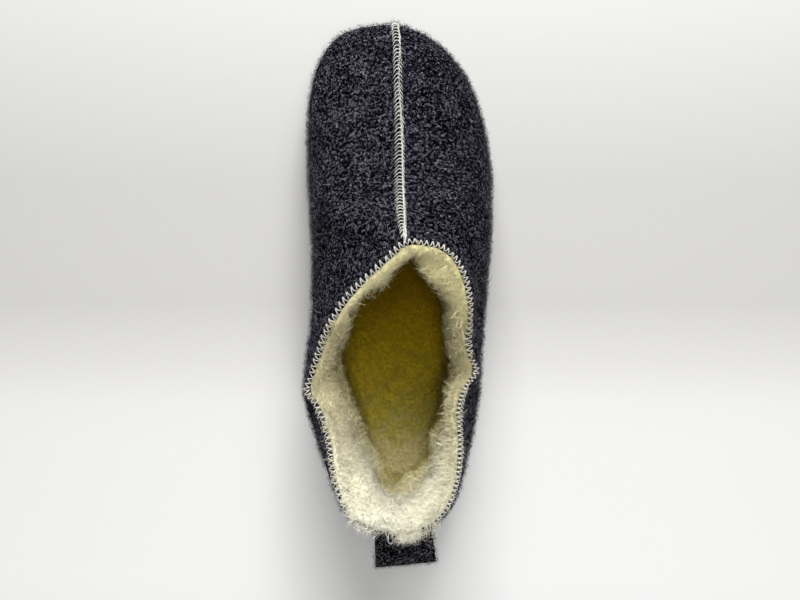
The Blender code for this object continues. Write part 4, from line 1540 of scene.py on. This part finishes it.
@dataclass
class PullLoop:
    """The felt loop at the heel with its nap.

    Attributes:
        felt: Its finish.
        slant, turn: How far its inner end leans aside, and how far its outer bend is turned.
        short: How far its outer bend is drawn in.
        lumps: Widths and heights of its unevenness.
        nap: Its short fibres.
    """

    felt: FeltFinish
    slant: float = 3.0 * MM
    turn: float = 3.1 * MM
    short: float = 1.3 * MM
    lumps: Rows = ((4, 0.7),)
    nap: Fibres = Fibres(1.2, 2.8, 0.09, 0.65, 0.6, count=2000, sunk=0.15)

    def build(self) -> None:
        """Makes the strip, a little askew as it was cut, and its nap."""
        piece = cad_copy(CadNode.PULL_LOOP, "felt_loop")
        crease_edges(piece, 0.45, angle=60.0)
        subdivide(piece)
        points, _ = points_and_normals(piece)
        low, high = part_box(CadNode.PULL_LOOP.value)
        across = (points[:, 0] - low.x) / (high.x - low.x)
        inward = (points[:, 1] - low.y) / (high.y - low.y)
        points[:, 0] -= self.slant * across * np.clip(inward, 0.0, 1.0)
        points[:, 1] += (self.short + self.turn * across) * np.clip(1.0 - inward, 0.0, 1.0)
        move_points(piece, points)
        roughen(piece, self.lumps)
        seat(piece, self.felt.wall(), Slot.FELT, CadNode.PULL_LOOP)
        skin = Skin(piece)
        everywhere = np.ones(len(skin.triangles))
        self.nap.cover("loop_nap", skin, Seed.LOOP_NAP, everywhere, self.felt.nap(), Slot.FELT)


@dataclass(frozen=True)
class Softbox:
    """A broad area light that faces the shoe.

    Attributes:
        name: The light's name.
        place: Where it hangs.
        size: Its width and height.
        power: Its power in watts.
    """

    name: str
    place: Place
    size: tuple[float, float]
    power: float

    def hang(self) -> None:
        """Hangs the light."""
        light = bpy.data.lights.new(self.name, "AREA")
        light.shape = "RECTANGLE"
        light.size, light.size_y = self.size
        light.energy = self.power
        lamp = bpy.data.objects.new(self.name, light)
        lamp.location = self.place
        lamp.rotation_euler = (-Vector(self.place)).to_track_quat("-Z", "Y").to_euler()
        bpy.context.scene.collection.objects.link(lamp)


@dataclass
class Studio:
    """Pale floor, soft light and the camera straight above the shoe."""

    lights: tuple[Softbox, ...] = (
        Softbox("key_light", (0.02, 0.95, 0.85), (0.6, 0.5), 25.3),
        Softbox("side_light", (0.30, 0.64, 1.05), (0.5, 0.55), 7.2),
        Softbox("top_light", (0.02, -0.05, 1.7), (0.4, 1.0), 22.3),
    )
    camera_height: float = 0.6
    camera_x: float = 0.9 * MM
    camera_ahead: float = 122 * MM
    lens: float = 45.0
    floor_size: float = 6.0
    # Pale paper with painted light and shade: greyest behind the middle of the shoe, lightest towards the
    # heel.
    floor_rows: Stops = (
        (-0.175, (0.505, 0.505, 0.503)),
        (-0.095, (0.463, 0.463, 0.458)),
        (-0.070, (0.443, 0.441, 0.432)),
        (-0.044, (0.385, 0.382, 0.373)),
        (-0.010, (0.320, 0.317, 0.306)),
        (0.062, (0.306, 0.304, 0.294)),
        (0.170, (0.351, 0.350, 0.344)),
    )
    sky_colour: Colour = (1.0, 1.0, 0.87)
    sky_strength: float = 0.055

    def build(self) -> None:
        """Sets floor, light and camera."""
        self.floor()
        for light in self.lights:
            light.hang()
        self.sky()
        self.camera()

    def floor(self) -> None:
        """A wide floor of pale paper, with painted shade that makes it greyer behind the middle of the shoe.
        """
        bpy.ops.object.select_all(action="DESELECT")
        bpy.ops.mesh.primitive_plane_add(size=self.floor_size, location=(0, 0, -0.3 * MM))
        floor = bpy.context.active_object
        floor.name = "floor"
        bpy.ops.object.transform_apply(location=True)
        surface = Surface("pale_paper")
        along = surface.add("SeparateXYZ", {0: surface.place()}).outputs["Y"]
        floor.data.materials.append(surface.finished(surface.tint(along, self.floor_rows), 0.9))

    def sky(self) -> None:
        """Even light from all round."""
        world = bpy.data.worlds.new("studio")
        world.use_nodes = True
        background = world.node_tree.nodes["Background"]
        background.inputs["Color"].default_value = (*self.sky_colour, 1.0)
        background.inputs["Strength"].default_value = self.sky_strength
        bpy.context.scene.world = world
        bpy.context.scene.view_settings.view_transform = "Standard"

    def camera(self) -> None:
        """A camera that looks straight down, with the toe at the top of the picture."""
        data = bpy.data.cameras.new("camera")
        data.lens = self.lens
        camera = bpy.data.objects.new("camera", data)
        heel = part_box(CadNode.UPPER.value)[0].y
        camera.location = (self.camera_x, heel + self.camera_ahead, self.camera_height)
        bpy.context.scene.collection.objects.link(camera)
        bpy.context.scene.camera = camera


def fleece(mottle: bpy.types.NodeTree) -> WoolFinish:
    """The lining's cream wool, with painted light and shade: lighter at the heel and the throat, darker along
    the sides, down in the hollow and on the little toe side.
    """
    return WoolFinish(
        mottle, "fleece", root=(0.68, 0.64, 0.49), tip=(0.93, 0.91, 0.80),
        # Painted light at the heel and the throat, painted shade along the sides.
        along=(
            (-0.120, (0.86, 0.86, 0.85)), (-0.100, (0.82, 0.81, 0.75)), (-0.086, (0.69, 0.67, 0.585)),
            (-0.070, (0.56, 0.53, 0.41)), (-0.045, (0.61, 0.565, 0.415)), (-0.022, (0.60, 0.56, 0.405)),
            (0.002, (0.93, 0.885, 0.64)),
        ),
        # Painted shade down in the hollow.
        upward=(
            (0.018, (0.44, 0.37, 0.10)), (0.030, (0.56, 0.49, 0.22)), (0.042, (0.70, 0.65, 0.43)),
            (0.058, (0.90, 0.86, 0.72)), (0.075, WHITE),
        ),
        # Painted light towards the big toe side, painted shade towards the little toe side.
        across=(
            (-0.036, (1.04, 1.04, 1.04)), (-0.022, (1.02, 1.02, 1.02)), (-0.006, WHITE),
            (0.010, (0.98, 0.98, 0.95)), (0.024, (0.88, 0.88, 0.83)), (0.034, (0.85, 0.85, 0.78)),
        ),
    )


def footbed(mottle: bpy.types.NodeTree) -> WoolFinish:
    """The insole's yellow wool, with painted shade that makes it darker towards the toe."""
    return WoolFinish(
        mottle, "footbed", root=(0.38, 0.34, 0.22), tip=(0.98, 0.94, 0.78),
        # The wool's own yellow, with painted shade that darkens it towards the toe.
        along=(
            (-0.118, (0.56, 0.53, 0.31)), (-0.100, (0.47, 0.42, 0.23)), (-0.082, (0.28, 0.25, 0.062)),
            (-0.060, (0.265, 0.205, 0.018)), (-0.035, (0.24, 0.175, 0.0055)),
            (-0.007, (0.175, 0.108, 0.0018)), (0.025, (0.14, 0.08, 0.0005)),
        ),
        patches=42 * MM,
    )


def flecked_felt(mottle: bpy.types.NodeTree) -> FeltFinish:
    """The loop's felt, darker than the upper's and with whiter flecks."""
    return FeltFinish(
        mottle, "flecked_felt", middle=(0.0006, 0.0006, 0.0016), light=(0.012, 0.0117, 0.018),
        lightest=(0.440, 0.432, 0.480), fibre_size=1.2 * MM,
    )


def main() -> None:
    """Builds the studio and the shoe's pieces in order."""
    logging.basicConfig(level=logging.INFO, format="%(name)s: %(message)s")
    mottle = fibre_mottle_group()
    thread = ThreadFinish().material()
    Studio().build()
    upper = FeltUpper(FeltFinish(mottle)).build()
    SeamStitching(upper, thread).build()
    collar = CollarStitching(upper, thread).build()
    WoolLining(collar, fleece(mottle)).build()
    WoolInsole(footbed(mottle)).build()
    RubberSole(RubberFinish()).build()
    PullLoop(flecked_felt(mottle)).build()


if __name__ == "__main__":
    main()
